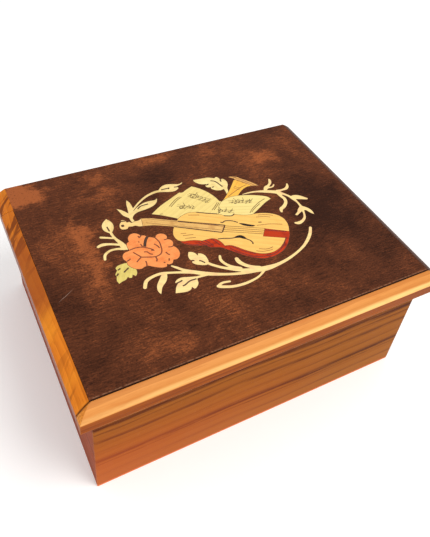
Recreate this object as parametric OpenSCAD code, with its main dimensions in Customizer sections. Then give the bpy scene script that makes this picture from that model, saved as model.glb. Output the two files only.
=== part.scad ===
// Inlaid wooden puzzle box: a hinged lid, a locked lid edge that a sliding
// moulding hides, and a key drawer behind the side moulding.
// Lid drawings are laid out from the panel's front left corner, with z = 0 on
// the top of the lid: x runs right along the front, y runs back, z is negative.

/* [Box] */
// Width of the lid panel, left to right
panel_w = 142; // [138:1:148]
// Depth of the lid panel, front to back
panel_d = 111; // [108:1:116]
// Height of the closed box
box_h = 61; // [50:1:80]
// Thickness of the walls, veneer included
wall_t = 6; // [5.8:0.1:6.4]
// Thickness of the veneers and of the inlay
veneer_t = 0.8; // [0.6:0.1:0.9]
// Thickness of the bottom board
bottom_t = 4; // [3:0.5:6]
// Depth of the grooves in the walls that hold the bottom board
rebate_d = 2.6; // [2:0.2:3]
// Thickness of the cloth on the floor of the box
lining_t = 1; // [0.5:0.5:2]
// Radius on the outer corners and bottom edges
edge_r = 0.6; // [0.3:0.1:0.7]

/* [Lid] */
// Thickness of the lid
lid_t = 8.4; // [8.4:0.1:9]
// Gap between the closed lid and the walls
lid_gap = 0.2; // [0.1:0.05:0.25]
// Thickness of the board under the lid's core
backing_t = 2.2; // [2.2:0.1:2.4]
// Width of the mouldings along the lid's edges
moulding_w = 5; // [4.8:0.1:5.5]
// Drop from the panel to the foot of the moulding's bevel
bevel_drop = 3.8; // [3.6:0.1:4]
// Angle of the chamfers that stop the open lid, on the lid and on the box
stop_angle = 50; // [45:1:55]

/* [Slides] */
// Travel of the front moulding
front_travel = 82; // [80:1:83]
// Depth of the key drawer's tray
tray_d = 38; // [36:1:44]
// Width of the key drawer's tray
tray_w = 50; // [40:1:56]
// Height of the slot that the tray runs in
tray_slot_h = 3.8; // [3.8:0.1:4.2]
// Clearance of the sliding parts
play = 0.15; // [0.1:0.05:0.2]

/* [Hinges] */
// Length of each hinge
hinge_len = 25; // [20:1:30]
// Distance from the panel's side to the middle of each hinge
hinge_inset = 30.5; // [20:0.5:40]
// Outer radius of the hinge knuckles
knuckle_r = 1.5; // [1.4:0.1:1.6]
// Radius of the hinge pins
pin_r = 0.7; // [0.6:0.1:0.8]

/* [Lock and key] */
// Travel of the bolt
bolt_travel = 4; // [3.5:0.1:4]
// Outer radius of the key's pipe
key_pipe_r = 1.3; // [1.2:0.05:1.3]
// Radius of the key's bow
bow_r = 5; // [4:0.5:5.5]

/* [Hidden] */
$fn = 48;
eps = 0.01;                                  // overrun of a cut past a face

// Heights, measured down from the top of the lid
wall_top = -lid_t - lid_gap;
core_top = -veneer_t;
core_bottom = -lid_t + backing_t;
slot_top = core_bottom + tray_slot_h;

// Plan of the box, inside and out
body_inset = 0.2;                            // walls stand this far inside the panel
core_inset = body_inset + veneer_t;
inner_inset = body_inset + wall_t;
board_inset = inner_inset - rebate_d;

// Joints cut across the left moulding
joint_gap = 0.24;
front_joint_skew = 1.2;
rear_joint_y = panel_d - 15;
rear_joint_skew = 2;

// Nose of the mouldings, below the bevel
nose_r = 0.9;
nose_start = 46;                             // angle at which the bevel meets the nose
bevel_bulge = 0.25;

// Hinge line, along the box's back edge
hinge_y = panel_d - 1.6;
hinge_z = -lid_t;
leaf_t = 1;
leaf_front = panel_d - 5.8;
knuckles = 5;
knuckle_len = hinge_len / knuckles;
knuckle_gap = 0.15;
swing_gap = 0.2;                             // room round a knuckle
pin_clearance = 0.03;

// Small countersunk screws
screw_r = 0.6;
head_r = 1.05;
head_h = 0.6;
screw_len = 4;
driver_slot = [0.3, 0.25];                   // width and depth
hinge_screw_y = panel_d - 4.6;
hinge_screw_step = 8.5;

// Rail that the front moulding runs on
rail_x0 = 86;
rail_x1 = 136;
rail_root = 3;
rail_neck_d = 1.3;
rail_head_d = 2.7;
rail_neck_z = [-5.5, -4.3];
rail_head_z = [-6.5, -3.5];

// Key drawer
tray_y = panel_d - 62;                       // middle of the tray
tray_floor = 0.7;
pocket_x = [12, 24.5];
pocket_y = [-18, 14.5];                      // from the middle of the tray
tray_end_room = 2;

// Key, measured along the tray from its middle
key_bow_y = -12;
key_tip_y = 13;
key_bow_t = 1.8;
key_bow_rim = 1.8;
key_bore_r = 0.75;
key_bore_len = 8;
key_bit_y = [-4, -0.6];                      // from the tip
key_bit_reach = 3.2;
key_bit_t = 0.9;
key_ward_x = [1.9, 2.5];
key_ward_end = -2.6;

// Lock, measured from the middle of the panel's front edge
lock_x = panel_w / 2;
key_z = -5;
case_half = 13;
flange_half = 20;
lock_y = [1.6, 9.6];
case_wall = 0.8;
case_top = -3.2;
cover_t = 0.5;
bolt_y = [3.8, 5.2];
bolt_z = [-7.4, -5.4];
bolt_nose = 6;                               // right end of the drawn-back bolt
bolt_len = 15;
staple_x = [7, 8.6];
staple_y = [2.9, 6.1];
staple_top = -4.1;
lock_screw_x = 17;
lock_screw_y = 5.6;
post_r = 0.6;
post_front = 2.6;
guide_x = [[-9.5, -6.5], [4.2, 6.2]];        // strips that guide the bolt
guide_w = 0.7;
guide_drop = 0.2;
bolt_side_gap = 0.1;
notch_end = 3.8;
notch_floor = 1.2;
spring_y = [4, 5];
mouth_gap = [0.6, 0.4, 0.6];                 // round the staple: sides, front, back
cover_gap = 0.1;

// Keyhole and its plate
keyhole_gap = 0.2;
keyhole_slot = [1.2, 2.3];                   // width and depth below the round hole
plate_half = 4;
plate_t = 0.4;
plate_z = [-8, -2.8];

// Strike plate on the front wall
strike_x = lock_x + 7.8;                     // its middle
strike_half = 12;
strike_front = 1.4;
strike_t = 0.8;
strike_screw_x = 9.5;
strike_screw_y = 3.8;
staple_hole_gap = [0.1, 0.3];                // round the bolt, in y and z

// Inlay, drawn for a panel 142 wide and 111 deep
art_k = min(panel_w / 142, panel_d / 111);
curve_steps = 4;

// ---------------------------------------------------------------- helpers

module on_panel() translate([-panel_w / 2, moulding_w / 2 - panel_d / 2, box_h]) children();

// A drawing in (y, z) drawn out along x
module along_x(x0, x1) translate([x0, 0, 0]) rotate([90, 0, 90]) linear_extrude(x1 - x0) children();

// A drawing in (x, z) drawn out along y
module along_y(y0, y1) translate([0, y1, 0]) rotate([90, 0, 0]) linear_extrude(y1 - y0) children();

// A drawing in (x, y) drawn out along z
module along_z(z0, z1) translate([0, 0, z0]) linear_extrude(z1 - z0) children();

// A box given by its low and high limits on each axis
module block(x, y, z) translate([x[0], y[0], z[0]]) cube([x[1] - x[0], y[1] - y[0], z[1] - z[0]]);

// A rod along x or y
module rod_x(x0, x1, y, z, r) translate([x0, y, z]) rotate([0, 90, 0]) cylinder(h = x1 - x0, r = r);
module rod_y(y0, y1, x, z, r) translate([x, y1, z]) rotate([90, 0, 0]) cylinder(h = y1 - y0, r = r);

// Countersunk screw, pointing down from z; up = true points it up
module screw(x, y, z, up = false) {
  translate([x, y, z]) mirror([0, 0, up ? 1 : 0]) difference() {
    union() {
      translate([0, 0, -head_h]) cylinder(h = head_h, r1 = screw_r, r2 = head_r);
      translate([0, 0, -screw_len]) cylinder(h = screw_len, r = screw_r);
    }
    translate([-head_r, -driver_slot[0] / 2, -driver_slot[1]]) cube([2 * head_r, driver_slot[0], 1]);
  }
}

// The hole that a screw fills: countersink and shank
module screw_hole(x, y, z, up = false) {
  translate([x, y, z]) mirror([0, 0, up ? 1 : 0]) {
    translate([0, 0, -head_h]) cylinder(h = head_h, r1 = screw_r, r2 = head_r);
    translate([0, 0, -screw_len]) cylinder(h = screw_len + eps, r = screw_r);
  }
}

// ---------------------------------------------------------------- curves

function catmull(a, b, c, d, t) =
  0.5 * (2 * b + (c - a) * t + (2 * a - 5 * b + 4 * c - d) * t * t
  + (3 * b - a - 3 * c + d) * t * t * t);

// Points of a smooth line through p, all but its last point
function curve(p) = len(p) == 2 ? [p[0]] :
  [for (i = [0 : len(p) - 2], j = [0 : curve_steps - 1])
    catmull(p[max(i - 1, 0)], p[i], p[i + 1], p[min(i + 2, len(p) - 1)], j / curve_steps)];

// A closed outline: smooth strokes that meet at corners
function outline(strokes) = [for (s = strokes) each curve(s)];

// Edge of a stem: the points lie half its width to one side of its middle line
function stem_side(c, side) = [for (i = [0 : len(c) - 1])
  let (a = c[max(i - 1, 0)], b = c[min(i + 1, len(c) - 1)],
       d = [b[0] - a[0], b[1] - a[1]] / norm([b[0] - a[0], b[1] - a[1]]))
  [c[i][0] - side * d[1] * c[i][2] / 2, c[i][1] + side * d[0] * c[i][2] / 2]];

function reversed(p) = [for (i = [len(p) - 1 : -1 : 0]) p[i]];

function turn(p, i) = let (q = p[(i + 1) % len(p)]) p[i][0] * q[1] - q[0] * p[i][1];
function total(v, i = 0) = i < len(v) ? v[i] + total(v, i + 1) : 0;

// The same outline, run anticlockwise
function anticlockwise(p) = total([for (i = [0 : len(p) - 1]) turn(p, i)]) < 0 ? reversed(p) : p;

// A stem through p, each point given as [x, y, width], with round ends
module stem(p) {
  c = concat(curve(p), [p[len(p) - 1]]);
  polygon(anticlockwise(concat(stem_side(c, 1), reversed(stem_side(c, -1)))));
  for (e = [p[0], p[len(p) - 1]]) translate([e[0], e[1]]) circle(r = e[2] / 2, $fn = 12);
}

module shape(strokes) polygon(anticlockwise(outline(strokes)));

// One piece of the inlay, let into the top veneer
module inlay() on_panel() scale(art_k) along_z(-veneer_t / art_k, 0) children();

// ---------------------------------------------------------------- mouldings

bevel_end = [moulding_w - nose_r + nose_r * cos(nose_start), -bevel_drop + nose_r * sin(nose_start)];
bevel_normal = [-bevel_end[1], bevel_end[0]] / norm(bevel_end);

// Section of a moulding: distance out from the panel, and height
profile = concat(
  [for (t = [0 : 0.125 : 0.99]) bevel_end * t + bevel_normal * 4 * bevel_bulge * t * (1 - t)],
  [for (a = [nose_start : -nose_start / 4 : 0.1])
    [moulding_w - nose_r + nose_r * cos(a), -bevel_drop + nose_r * sin(a)]],
  [[moulding_w, -bevel_drop], [moulding_w, -lid_t], [0, -lid_t]]);

// The front moulding's outline seen from the front, with both ends returned
front_view = concat([for (i = [0 : len(profile) - 2]) [panel_w + profile[i][0], profile[i][1]]],
  [for (i = [len(profile) - 2 : -1 : 0]) [-profile[i][0], profile[i][1]]]);

// Left moulding, cut out between two plan lines
module left_stick(plan) intersection() {
  along_y(-moulding_w, panel_d) polygon([for (p = profile) [-p[0], p[1]]]);
  along_z(-lid_t - 1, 1) polygon(plan);
}

// ---------------------------------------------------------------- box

module body_plan() {
  x = [body_inset, panel_w - body_inset];
  y = [body_inset, panel_d];
  translate([x[0] + edge_r, y[0]]) square([x[1] - x[0] - 2 * edge_r, y[1] - y[0]]);
  translate([x[0], y[0] + edge_r]) square([x[1] - x[0], y[1] - y[0] - 2 * edge_r]);
  for (cx = [x[0] + edge_r, x[1] - edge_r], cy = [y[0] + edge_r, y[1] - edge_r])
    translate([cx, cy]) circle(r = edge_r);
}

// What is cut away to round one bottom edge: a square less a quarter circle
module edge_cut() difference() {
  translate([-1, -1]) square(edge_r + 1);
  translate([edge_r, edge_r]) circle(r = edge_r);
}

// Chamfer that stops the open lid, seen from the side: side is 1 on the lid and -1 on the box
module stop_chamfer(side) {
  run = panel_d + 1 - hinge_y;
  polygon([[hinge_y, hinge_z], [hinge_y, hinge_z - side], [hinge_y + run, hinge_z - side],
    [hinge_y + run, hinge_z + side * run * tan(stop_angle)]]);
}

// Room for the hinge barrels and the stop, cut from the lid or the box
module back_cut(side) {
  along_x(-1, panel_w + 1) stop_chamfer(side);
  for (x = hinge_xs) hinge_room(x);
}

hinge_xs = [hinge_inset, panel_w - hinge_inset];

module hinge_room(x)
  rod_x(x - hinge_len / 2 - swing_gap, x + hinge_len / 2 + swing_gap,
    hinge_y, hinge_z, knuckle_r + swing_gap);

module bottom_board_space(grow = 0)
  block([board_inset, panel_w - board_inset], [board_inset, panel_d - (board_inset - body_inset)],
    [-box_h - grow, -box_h + bottom_t]);

// One wall of the carcass, from its plan
module carcass_wall(plan) difference() {
  along_z(-box_h, wall_top) polygon(plan);
  bottom_board_space(1);
}

core_x = [core_inset, panel_w - core_inset];
core_y = [core_inset, panel_d - veneer_t];
inner_x = [inner_inset, panel_w - inner_inset];
inner_y = [inner_inset, panel_d - wall_t];

module front_wall() color("peru") on_panel() difference() {
  carcass_wall([[core_x[0], core_y[0]], [core_x[1], core_y[0]],
    [inner_x[1], inner_y[0]], [inner_x[0], inner_y[0]]]);
  strike_plate_space();
  for (s = [-1, 1]) screw_hole(strike_x + s * strike_screw_x, strike_screw_y, wall_top);
}

module back_wall() color("peru") on_panel() difference() {
  carcass_wall([[core_x[0], core_y[1]], [inner_x[0], inner_y[1]],
    [inner_x[1], inner_y[1]], [core_x[1], core_y[1]]]);
  back_cut(-1);
  for (x = hinge_xs) {
    block([x - hinge_len / 2, x + hinge_len / 2], [leaf_front, hinge_y], [wall_top - leaf_t, 1]);
    for (s = [-1 : 1]) screw_hole(x + s * hinge_screw_step, hinge_screw_y, wall_top);
  }
}

module left_wall() color("peru") on_panel() difference() {
  carcass_wall([[core_x[0], core_y[0]], [inner_x[0], inner_y[0]],
    [inner_x[0], inner_y[1]], [core_x[0], core_y[1]]]);
  back_cut(-1);
}

module right_wall() color("peru") on_panel() difference() {
  carcass_wall([[core_x[1], core_y[0]], [core_x[1], core_y[1]],
    [inner_x[1], inner_y[1]], [inner_x[1], inner_y[0]]]);
  back_cut(-1);
}

module bottom_board() color("burlywood") on_panel() bottom_board_space();

// A face veneer: the part of the outer skin between the given limits
module face_veneer(x, y) intersection() {
  along_z(-box_h, wall_top) body_plan();
  block(x, y, [-box_h - 1, 0]);
}

module front_veneer() color("chocolate") on_panel() difference() {
  face_veneer([0, panel_w], [0, core_y[0]]);
  along_x(-1, panel_w + 1) translate([body_inset, -box_h]) edge_cut();
}

module back_veneer() color("chocolate") on_panel() difference() {
  face_veneer([0, panel_w], [core_y[1], panel_d]);
  along_x(-1, panel_w + 1) translate([panel_d, -box_h]) mirror([1, 0]) edge_cut();
  back_cut(-1);
}

module left_veneer() color("sienna") on_panel() difference() {
  face_veneer([0, core_x[0]], core_y);
  along_y(-1, panel_d + 1) translate([body_inset, -box_h]) edge_cut();
  back_cut(-1);
}

module right_veneer() color("sienna") on_panel() difference() {
  face_veneer([core_x[1], panel_w], core_y);
  along_y(-1, panel_d + 1) translate([panel_w - body_inset, -box_h]) mirror([1, 0]) edge_cut();
  back_cut(-1);
}

module floor_lining() color("maroon") on_panel()
  block(inner_x, inner_y, [-box_h + bottom_t, -box_h + bottom_t + lining_t]);

// ---------------------------------------------------------------- hinges

// One leaf with its knuckles; first is 0 for the box's leaf and 1 for the lid's
module hinge_leaf(x, first) {
  x0 = x - hinge_len / 2;
  up = first == 1;
  face = up ? hinge_z : wall_top;
  difference() {
    union() {
      block([x0, x0 + hinge_len], [leaf_front, hinge_y],
        up ? [face, face + leaf_t] : [face - leaf_t, face]);
      for (k = [first : 2 : knuckles - 1])
        rod_x(x0 + k * knuckle_len + knuckle_gap / 2, x0 + (k + 1) * knuckle_len - knuckle_gap / 2,
          hinge_y, hinge_z, knuckle_r);
    }
    for (k = [1 - first : 2 : knuckles - 1])
      rod_x(x0 + k * knuckle_len - knuckle_gap / 2, x0 + (k + 1) * knuckle_len + knuckle_gap / 2,
        hinge_y, hinge_z, knuckle_r + swing_gap);
    rod_x(x0 - 1, x0 + hinge_len + 1, hinge_y, hinge_z, pin_r + (up ? pin_clearance : 0));
    for (s = [-1 : 1]) screw_hole(x + s * hinge_screw_step, hinge_screw_y, face, up);
  }
}

module hinge_pin(x) rod_x(x - hinge_len / 2, x + hinge_len / 2, hinge_y, hinge_z, pin_r);

module left_hinge_wall_leaf() color("goldenrod") on_panel() hinge_leaf(hinge_xs[0], 0);
module right_hinge_wall_leaf() color("goldenrod") on_panel() hinge_leaf(hinge_xs[1], 0);
module left_hinge_lid_leaf() color("goldenrod") on_panel() hinge_leaf(hinge_xs[0], 1);
module right_hinge_lid_leaf() color("goldenrod") on_panel() hinge_leaf(hinge_xs[1], 1);
module left_hinge_pin() color("silver") on_panel() hinge_pin(hinge_xs[0]);
module right_hinge_pin() color("silver") on_panel() hinge_pin(hinge_xs[1]);

module hinge_wall_screws() color("darkgoldenrod") on_panel()
  for (x = hinge_xs, s = [-1 : 1]) screw(x + s * hinge_screw_step, hinge_screw_y, wall_top);

module hinge_lid_screws() color("darkgoldenrod") on_panel()
  for (x = hinge_xs, s = [-1 : 1]) screw(x + s * hinge_screw_step, hinge_screw_y, hinge_z, true);

// ---------------------------------------------------------------- lid

module lid_core() color("tan") on_panel() difference() {
  block([0, panel_w], [0, panel_d - veneer_t], [core_bottom, core_top]);
  block([-1, tray_d + tray_end_room], tray_limits(play), [core_bottom - 1, slot_top]);
  rail_root_space();
  lock_space();
  for (x = hinge_xs, s = [-1 : 1]) screw_hole(x + s * hinge_screw_step, hinge_screw_y, hinge_z, true);
}

module lid_backing() color("tan") on_panel() difference() {
  block([0, panel_w], [0, panel_d - veneer_t], [-lid_t, core_bottom]);
  back_cut(1);
  lock_space();
  for (x = hinge_xs) {
    block([x - hinge_len / 2, x + hinge_len / 2], [leaf_front, hinge_y], [-lid_t - 1, hinge_z + leaf_t]);
    for (s = [-1 : 1]) screw_hole(x + s * hinge_screw_step, hinge_screw_y, hinge_z, true);
  }
}

module lid_back_edging() color("saddlebrown") on_panel() difference() {
  block([0, panel_w], [panel_d - veneer_t, panel_d], [-lid_t, core_top]);
  back_cut(1);
}

module right_moulding() color("saddlebrown") on_panel()
  translate([panel_w, 0, 0]) along_y(0, panel_d) polygon(profile);

module left_moulding_block() color("orange") on_panel() left_stick([
  [0, rear_joint_y + joint_gap / 2], [0, panel_d], [-moulding_w, panel_d],
  [-moulding_w, rear_joint_y + rear_joint_skew + joint_gap / 2]]);

// ---------------------------------------------------------------- front slide

module rail_root_space() block([rail_x0, rail_x1], [0, rail_root], rail_neck_z);

module front_rail() color("saddlebrown") on_panel() {
  block([rail_x0, rail_x1], [-rail_neck_d, rail_root], rail_neck_z);
  block([rail_x0, rail_x1], [-rail_head_d, -rail_neck_d], rail_head_z);
}

// The groove stops short of the moulding's left end, which ends its travel
module front_moulding() color("navajowhite") on_panel() difference() {
  intersection() {
    along_x(-moulding_w, panel_w + moulding_w) polygon([for (p = profile) [-p[0], p[1]]]);
    along_y(-moulding_w, 0) polygon(front_view);
    along_z(-lid_t - 1, 1) polygon([[-moulding_w, -moulding_w], [panel_w + moulding_w, -moulding_w],
      [panel_w + moulding_w, -play], [0, -play], [-moulding_w, -front_joint_skew - joint_gap / 2]]);
  }
  groove_x = [rail_x0 - front_travel - play, panel_w + moulding_w + 1];
  block(groove_x, [-rail_neck_d + play, 0], [rail_neck_z[0] - play, rail_neck_z[1] + play]);
  block(groove_x, [-rail_head_d - play, -rail_neck_d + play],
    [rail_head_z[0] - play, rail_head_z[1] + play]);
}

// ---------------------------------------------------------------- key drawer

function tray_limits(gap) = [tray_y - tray_w / 2 - gap, tray_y + tray_w / 2 + gap];

module side_moulding() color("orange") on_panel() left_stick([
  [-joint_gap / 2, joint_gap / 2], [-joint_gap / 2, rear_joint_y - joint_gap / 2],
  [-moulding_w, rear_joint_y + rear_joint_skew - joint_gap / 2],
  [-moulding_w, -front_joint_skew + joint_gap / 2]]);

module drawer_tray() color("burlywood") on_panel() difference() {
  block([-joint_gap / 2, tray_d], tray_limits(0), [core_bottom + play, slot_top - play]);
  block(pocket_x, [tray_y + pocket_y[0], tray_y + pocket_y[1]], [core_bottom + play + tray_floor, 0]);
}

// Key lying in the tray: pipe, bow and bit
module key() {
  pipe_z = core_bottom + play + tray_floor + key_pipe_r;
  bow_y = tray_y + key_bow_y;
  tip_y = tray_y + key_tip_y;
  key_x = (pocket_x[0] + pocket_x[1]) / 2;
  color("darkkhaki") on_panel() difference() {
    union() {
      rod_y(bow_y + bow_r - 1, tip_y, key_x, pipe_z, key_pipe_r);
      translate([key_x, bow_y, pipe_z - key_bow_t / 2]) cylinder(h = key_bow_t, r = bow_r);
      block([key_x, key_x + key_bit_reach], [tip_y + key_bit_y[0], tip_y + key_bit_y[1]],
        [pipe_z - key_bit_t / 2, pipe_z + key_bit_t / 2]);
    }
    translate([key_x, bow_y, pipe_z - key_bow_t]) cylinder(h = 2 * key_bow_t, r = bow_r - key_bow_rim);
    rod_y(tip_y - key_bore_len, tip_y + 1, key_x, pipe_z, key_bore_r);
    block([key_x + key_ward_x[0], key_x + key_ward_x[1]],
      [tip_y + key_bit_y[0] - eps, tip_y + key_ward_end],
      [pipe_z - 1, pipe_z + 1]);
  }
}

// ---------------------------------------------------------------- lock

// Keyhole seen from the front: a round hole over a slot
module keyhole() {
  translate([lock_x, key_z]) circle(r = key_pipe_r + keyhole_gap);
  translate([lock_x - keyhole_slot[0] / 2, key_z - keyhole_slot[1]]) square(keyhole_slot);
}

module keyhole_plate_block(y0) block([lock_x - plate_half, lock_x + plate_half], [y0, plate_t], plate_z);

module lock_screw_holes()
  for (s = [-1, 1]) screw_hole(lock_x + s * lock_screw_x, lock_screw_y, -lid_t, true);

// Everything cut from the lid to let the lock in
module lock_space() {
  block([lock_x - case_half, lock_x + case_half], lock_y, [-lid_t - 1, case_top + cover_t + cover_gap]);
  block([lock_x - flange_half, lock_x + flange_half], lock_y, [-lid_t - 1, -lid_t + case_wall]);
  keyhole_plate_block(-1);
  along_y(0, lock_y[0] + eps) keyhole();
  lock_screw_holes();
}

module keyhole_plate() color("goldenrod") on_panel() difference() {
  keyhole_plate_block(0);
  along_y(-1, 1) keyhole();
}

module lock_case() color("goldenrod") on_panel() {
  x = [lock_x - case_half, lock_x + case_half];
  floor_z = -lid_t + case_wall;
  difference() {
    union() {
      block(x, lock_y, [-lid_t, case_top]);
      block([lock_x - flange_half, lock_x + flange_half], lock_y, [-lid_t, floor_z]);
    }
    block([x[0] + case_wall, x[1] - case_wall], [lock_y[0] + case_wall, lock_y[1] - case_wall],
      [floor_z, 0]);
    block([lock_x + staple_x[0] - mouth_gap[0], lock_x + staple_x[1] + mouth_gap[0]],
      [staple_y[0] - mouth_gap[1], staple_y[1] + mouth_gap[2]], [-lid_t - 1, 0]);
    along_y(lock_y[0] - 1, lock_y[0] + case_wall + eps) keyhole();
    rod_y(lock_y[1] - case_wall - eps, lock_y[1] + 1, lock_x, key_z, post_r);
    lock_screw_holes();
  }
  front_guide = [bolt_y[0] - bolt_side_gap - guide_w, bolt_y[0] - bolt_side_gap];
  rear_guide = [bolt_y[1] + bolt_side_gap, bolt_y[1] + bolt_side_gap + guide_w];
  for (gx = guide_x, gy = [front_guide, rear_guide])
    block([lock_x + gx[0], lock_x + gx[1]], gy, [floor_z, bolt_z[1] - guide_drop]);
}

module lock_cover() color("goldenrod") on_panel()
  block([lock_x - case_half, lock_x + case_half], lock_y, [case_top, case_top + cover_t]);

module lock_post() color("silver") on_panel() rod_y(post_front, lock_y[1], lock_x, key_z, post_r);

// Bent strip that presses on the bolt's tail, drawn in (x, z)
module lock_spring() color("silver") on_panel()
  along_y(spring_y[0], spring_y[1]) translate([lock_x, 0]) polygon([
    [case_wall - case_half, -3.7], [-9.5, -3.9], [-6.7, -5.05], [-5.2, -4.6],
    [-5.2, -4.9], [-6.7, bolt_z[1] + 0.05], [-9.7, -4.2], [case_wall - case_half, -4]]);

module lock_screws() color("darkgoldenrod") on_panel()
  for (s = [-1, 1]) screw(lock_x + s * lock_screw_x, lock_screw_y, -lid_t, true);

// The notch leaves the post free while the key throws the bolt
module lock_bolt() color("gold") on_panel() difference() {
  block([lock_x + bolt_nose - bolt_len, lock_x + bolt_nose], bolt_y, bolt_z);
  block([lock_x - bolt_travel - 1, lock_x + notch_end], [bolt_y[0] - 1, bolt_y[1] + 1],
    [bolt_z[0] + notch_floor, 0]);
}

module strike_plate_space()
  block([strike_x - strike_half, strike_x + strike_half], [strike_front, inner_inset],
    [wall_top - strike_t, wall_top]);

module strike_plate() color("goldenrod") on_panel() difference() {
  union() {
    strike_plate_space();
    block([lock_x + staple_x[0], lock_x + staple_x[1]], staple_y, [wall_top - eps, staple_top]);
  }
  block([lock_x, lock_x + strike_half], [bolt_y[0] - staple_hole_gap[0], bolt_y[1] + staple_hole_gap[0]],
    [bolt_z[0] - staple_hole_gap[1], bolt_z[1] + staple_hole_gap[1]]);
  for (s = [-1, 1]) screw_hole(strike_x + s * strike_screw_x, strike_screw_y, wall_top);
}

module strike_screws() color("darkgoldenrod") on_panel()
  for (s = [-1, 1]) screw(strike_x + s * strike_screw_x, strike_screw_y, wall_top);

// ---------------------------------------------------------------- inlay drawings

module violin_table_2d() shape([
  [[57.4, 62.1], [55.8, 59.6], [55, 57], [55.5, 54.3], [57.4, 52.8], [60.2, 52.2], [62.6, 51.3],
  [64.6, 50.1]],
  [[64.6, 50.1], [66.6, 50.1], [68.6, 49.9], [70.3, 48.9], [71.4, 46.8], [71.9, 44.1]],
  [[71.9, 44.1], [74.2, 43.4], [76.2, 41.5], [78, 39.2], [80.2, 37], [82.6, 35], [85.5, 33.7],
    [88.8, 33.4], [92.2, 34.3], [95.3, 36.2], [97.8, 38.5]],
  [[97.8, 38.5], [101.2, 41]],
  [[101.2, 41], [102.6, 43.6], [103.4, 46.2], [103.4, 49], [102.2, 51.6], [100, 53.7], [97, 55.3],
    [94, 56.2], [91.5, 56.4]],
  [[91.5, 56.4], [88.6, 57.2], [86.4, 58.3], [84.6, 59.3]],
  [[84.6, 59.3], [82.4, 59.1], [80.6, 59.9], [79, 61.5]],
  [[79, 61.5], [76.5, 62.9], [73.5, 64.3], [71, 66], [68.6, 67.2], [66.2, 67.6], [63.8, 67.1],
    [61.8, 66.4], [60, 65]],
  [[60, 65], [57.4, 62.1]]]);

module fingerboard_2d() shape([
  [[46.7, 71.8], [50.4, 70.5], [54.4, 68.2], [60, 65]], [[60, 65], [77.6, 54.8]],
  [[77.6, 54.8], [74.5, 51.4]], [[74.5, 51.4], [70.2, 53.8], [64.2, 58.1], [57.4, 62.1], [50, 65.9],
  [45.7, 67.2]],
  [[45.7, 67.2], [46.7, 71.8]]]);

module scroll_2d() shape([
  [[46.7, 71.8], [45.2, 71.1], [43.4, 71.2], [42.2, 70.8], [41.4, 71.8], [40.4, 71.8], [40.2, 73.2],
    [38.7, 73.9], [38.2, 72.9], [37.1, 71.6], [36.6, 70], [36.9, 68.7], [38.2, 68.1], [39.4, 68.2],
    [40.2, 69], [41.6, 68.6], [43, 68.6], [44.2, 67.6], [45.7, 67.2]],
  [[45.7, 67.2], [46.7, 71.8]]]);

module tailpiece_2d() polygon(anticlockwise([[89.3, 42.8], [92.4, 46.6], [96.6, 44], [101.4, 41.1],
  [100.3, 39.2], [99, 37.7], [97.6, 38.4]]));

module rib_2d() shape([
  [[56, 53.6], [57.2, 51.2], [59.5, 49.4], [62.4, 48.1], [64.9, 47.1]],
  [[64.9, 47.1], [65.9, 45.6], [68, 44.7], [70, 43.8], [71.2, 42.5], [73, 40.4], [75, 38.1], [77.4, 35.6],
    [80, 33.4], [83, 31.8], [86.4, 31.2], [90, 31.6], [93.6, 32.9], [96.8, 35.2], [99, 37.7]],
  [[99, 37.7], [97, 40]], [[97, 40], [85, 45]], [[85, 45], [72, 50]], [[72, 50], [60, 55]],
  [[60, 55], [56, 53.6]]]);

module sound_holes_2d() {
  shape([[[83.7, 53.7], [85.4, 52.8], [87.4, 51.3], [89.6, 49.8]],
    [[89.6, 49.8], [88.2, 49.7], [86.2, 50.8], [84.6, 52.2], [83.7, 53.7]]]);
  shape([[[77.4, 46.7], [79.2, 47.2], [80.9, 46.9], [81.9, 45.6], [82.2, 44]],
    [[82.2, 44], [81, 44.7], [79.8, 45.8], [78.4, 46.3], [77.4, 46.7]]]);
}

module left_page_2d() shape([
  [[51.8, 72.6], [57, 75.9], [62.4, 78.4], [68.6, 81.2]],
  [[68.6, 81.2], [70, 80.7], [72.4, 81.8], [75.6, 83]],
  [[75.6, 83], [78.4, 80.2], [80.8, 76.4], [82.2, 72.4], [82.7, 69.3]], [[82.7, 69.3], [84, 68.5]],
  [[84, 68.5], [81, 64]], [[81, 64], [78, 60]], [[78, 60], [62, 64]], [[62, 64], [60.6, 66.2]],
  [[60.6, 66.2], [58.2, 68.2], [55.2, 70.5], [51.8, 72.6]]]);

module right_page_2d() shape([
  [[78, 61.2], [79.4, 64], [81, 66.6], [83.2, 68.6], [86.4, 69.8], [90, 70], [93, 69.4], [97.6, 67.9],
    [102.2, 65.6], [104.3, 63.9], [105, 62.2]],
  [[105, 62.2], [101.8, 61.1], [98.2, 59.3], [94.6, 57.4], [91.6, 56]],
  [[91.6, 56], [85, 57]], [[85, 57], [78, 61.2]]]);

module horn_2d() shape([
  [[84.6, 69.4], [88, 72.2], [91.6, 75.6], [95.6, 79.9]], [[95.6, 79.9], [97.4, 79.3], [99.2, 76.8],
    [100.6, 74.8], [101.2, 73.3]],
  [[101.2, 73.3], [98.8, 73.4], [95.6, 72.1], [92.2, 69.6]], [[92.2, 69.6], [88, 68]],
  [[88, 68], [84.6, 69.4]]]);

module horn_rim_2d() shape([
  [[94.2, 82.9], [96.4, 82.6], [98.4, 81.2], [99.2, 79.9], [101, 77.8], [103, 75], [104.6, 72.2]],
  [[104.6, 72.2], [102.8, 72.9], [101.2, 73.3]], [[101.2, 73.3], [96.4, 78]], [[96.4, 78], [96.2, 80.9]],
  [[96.2, 80.9], [94.2, 82.9]]]);

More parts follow.
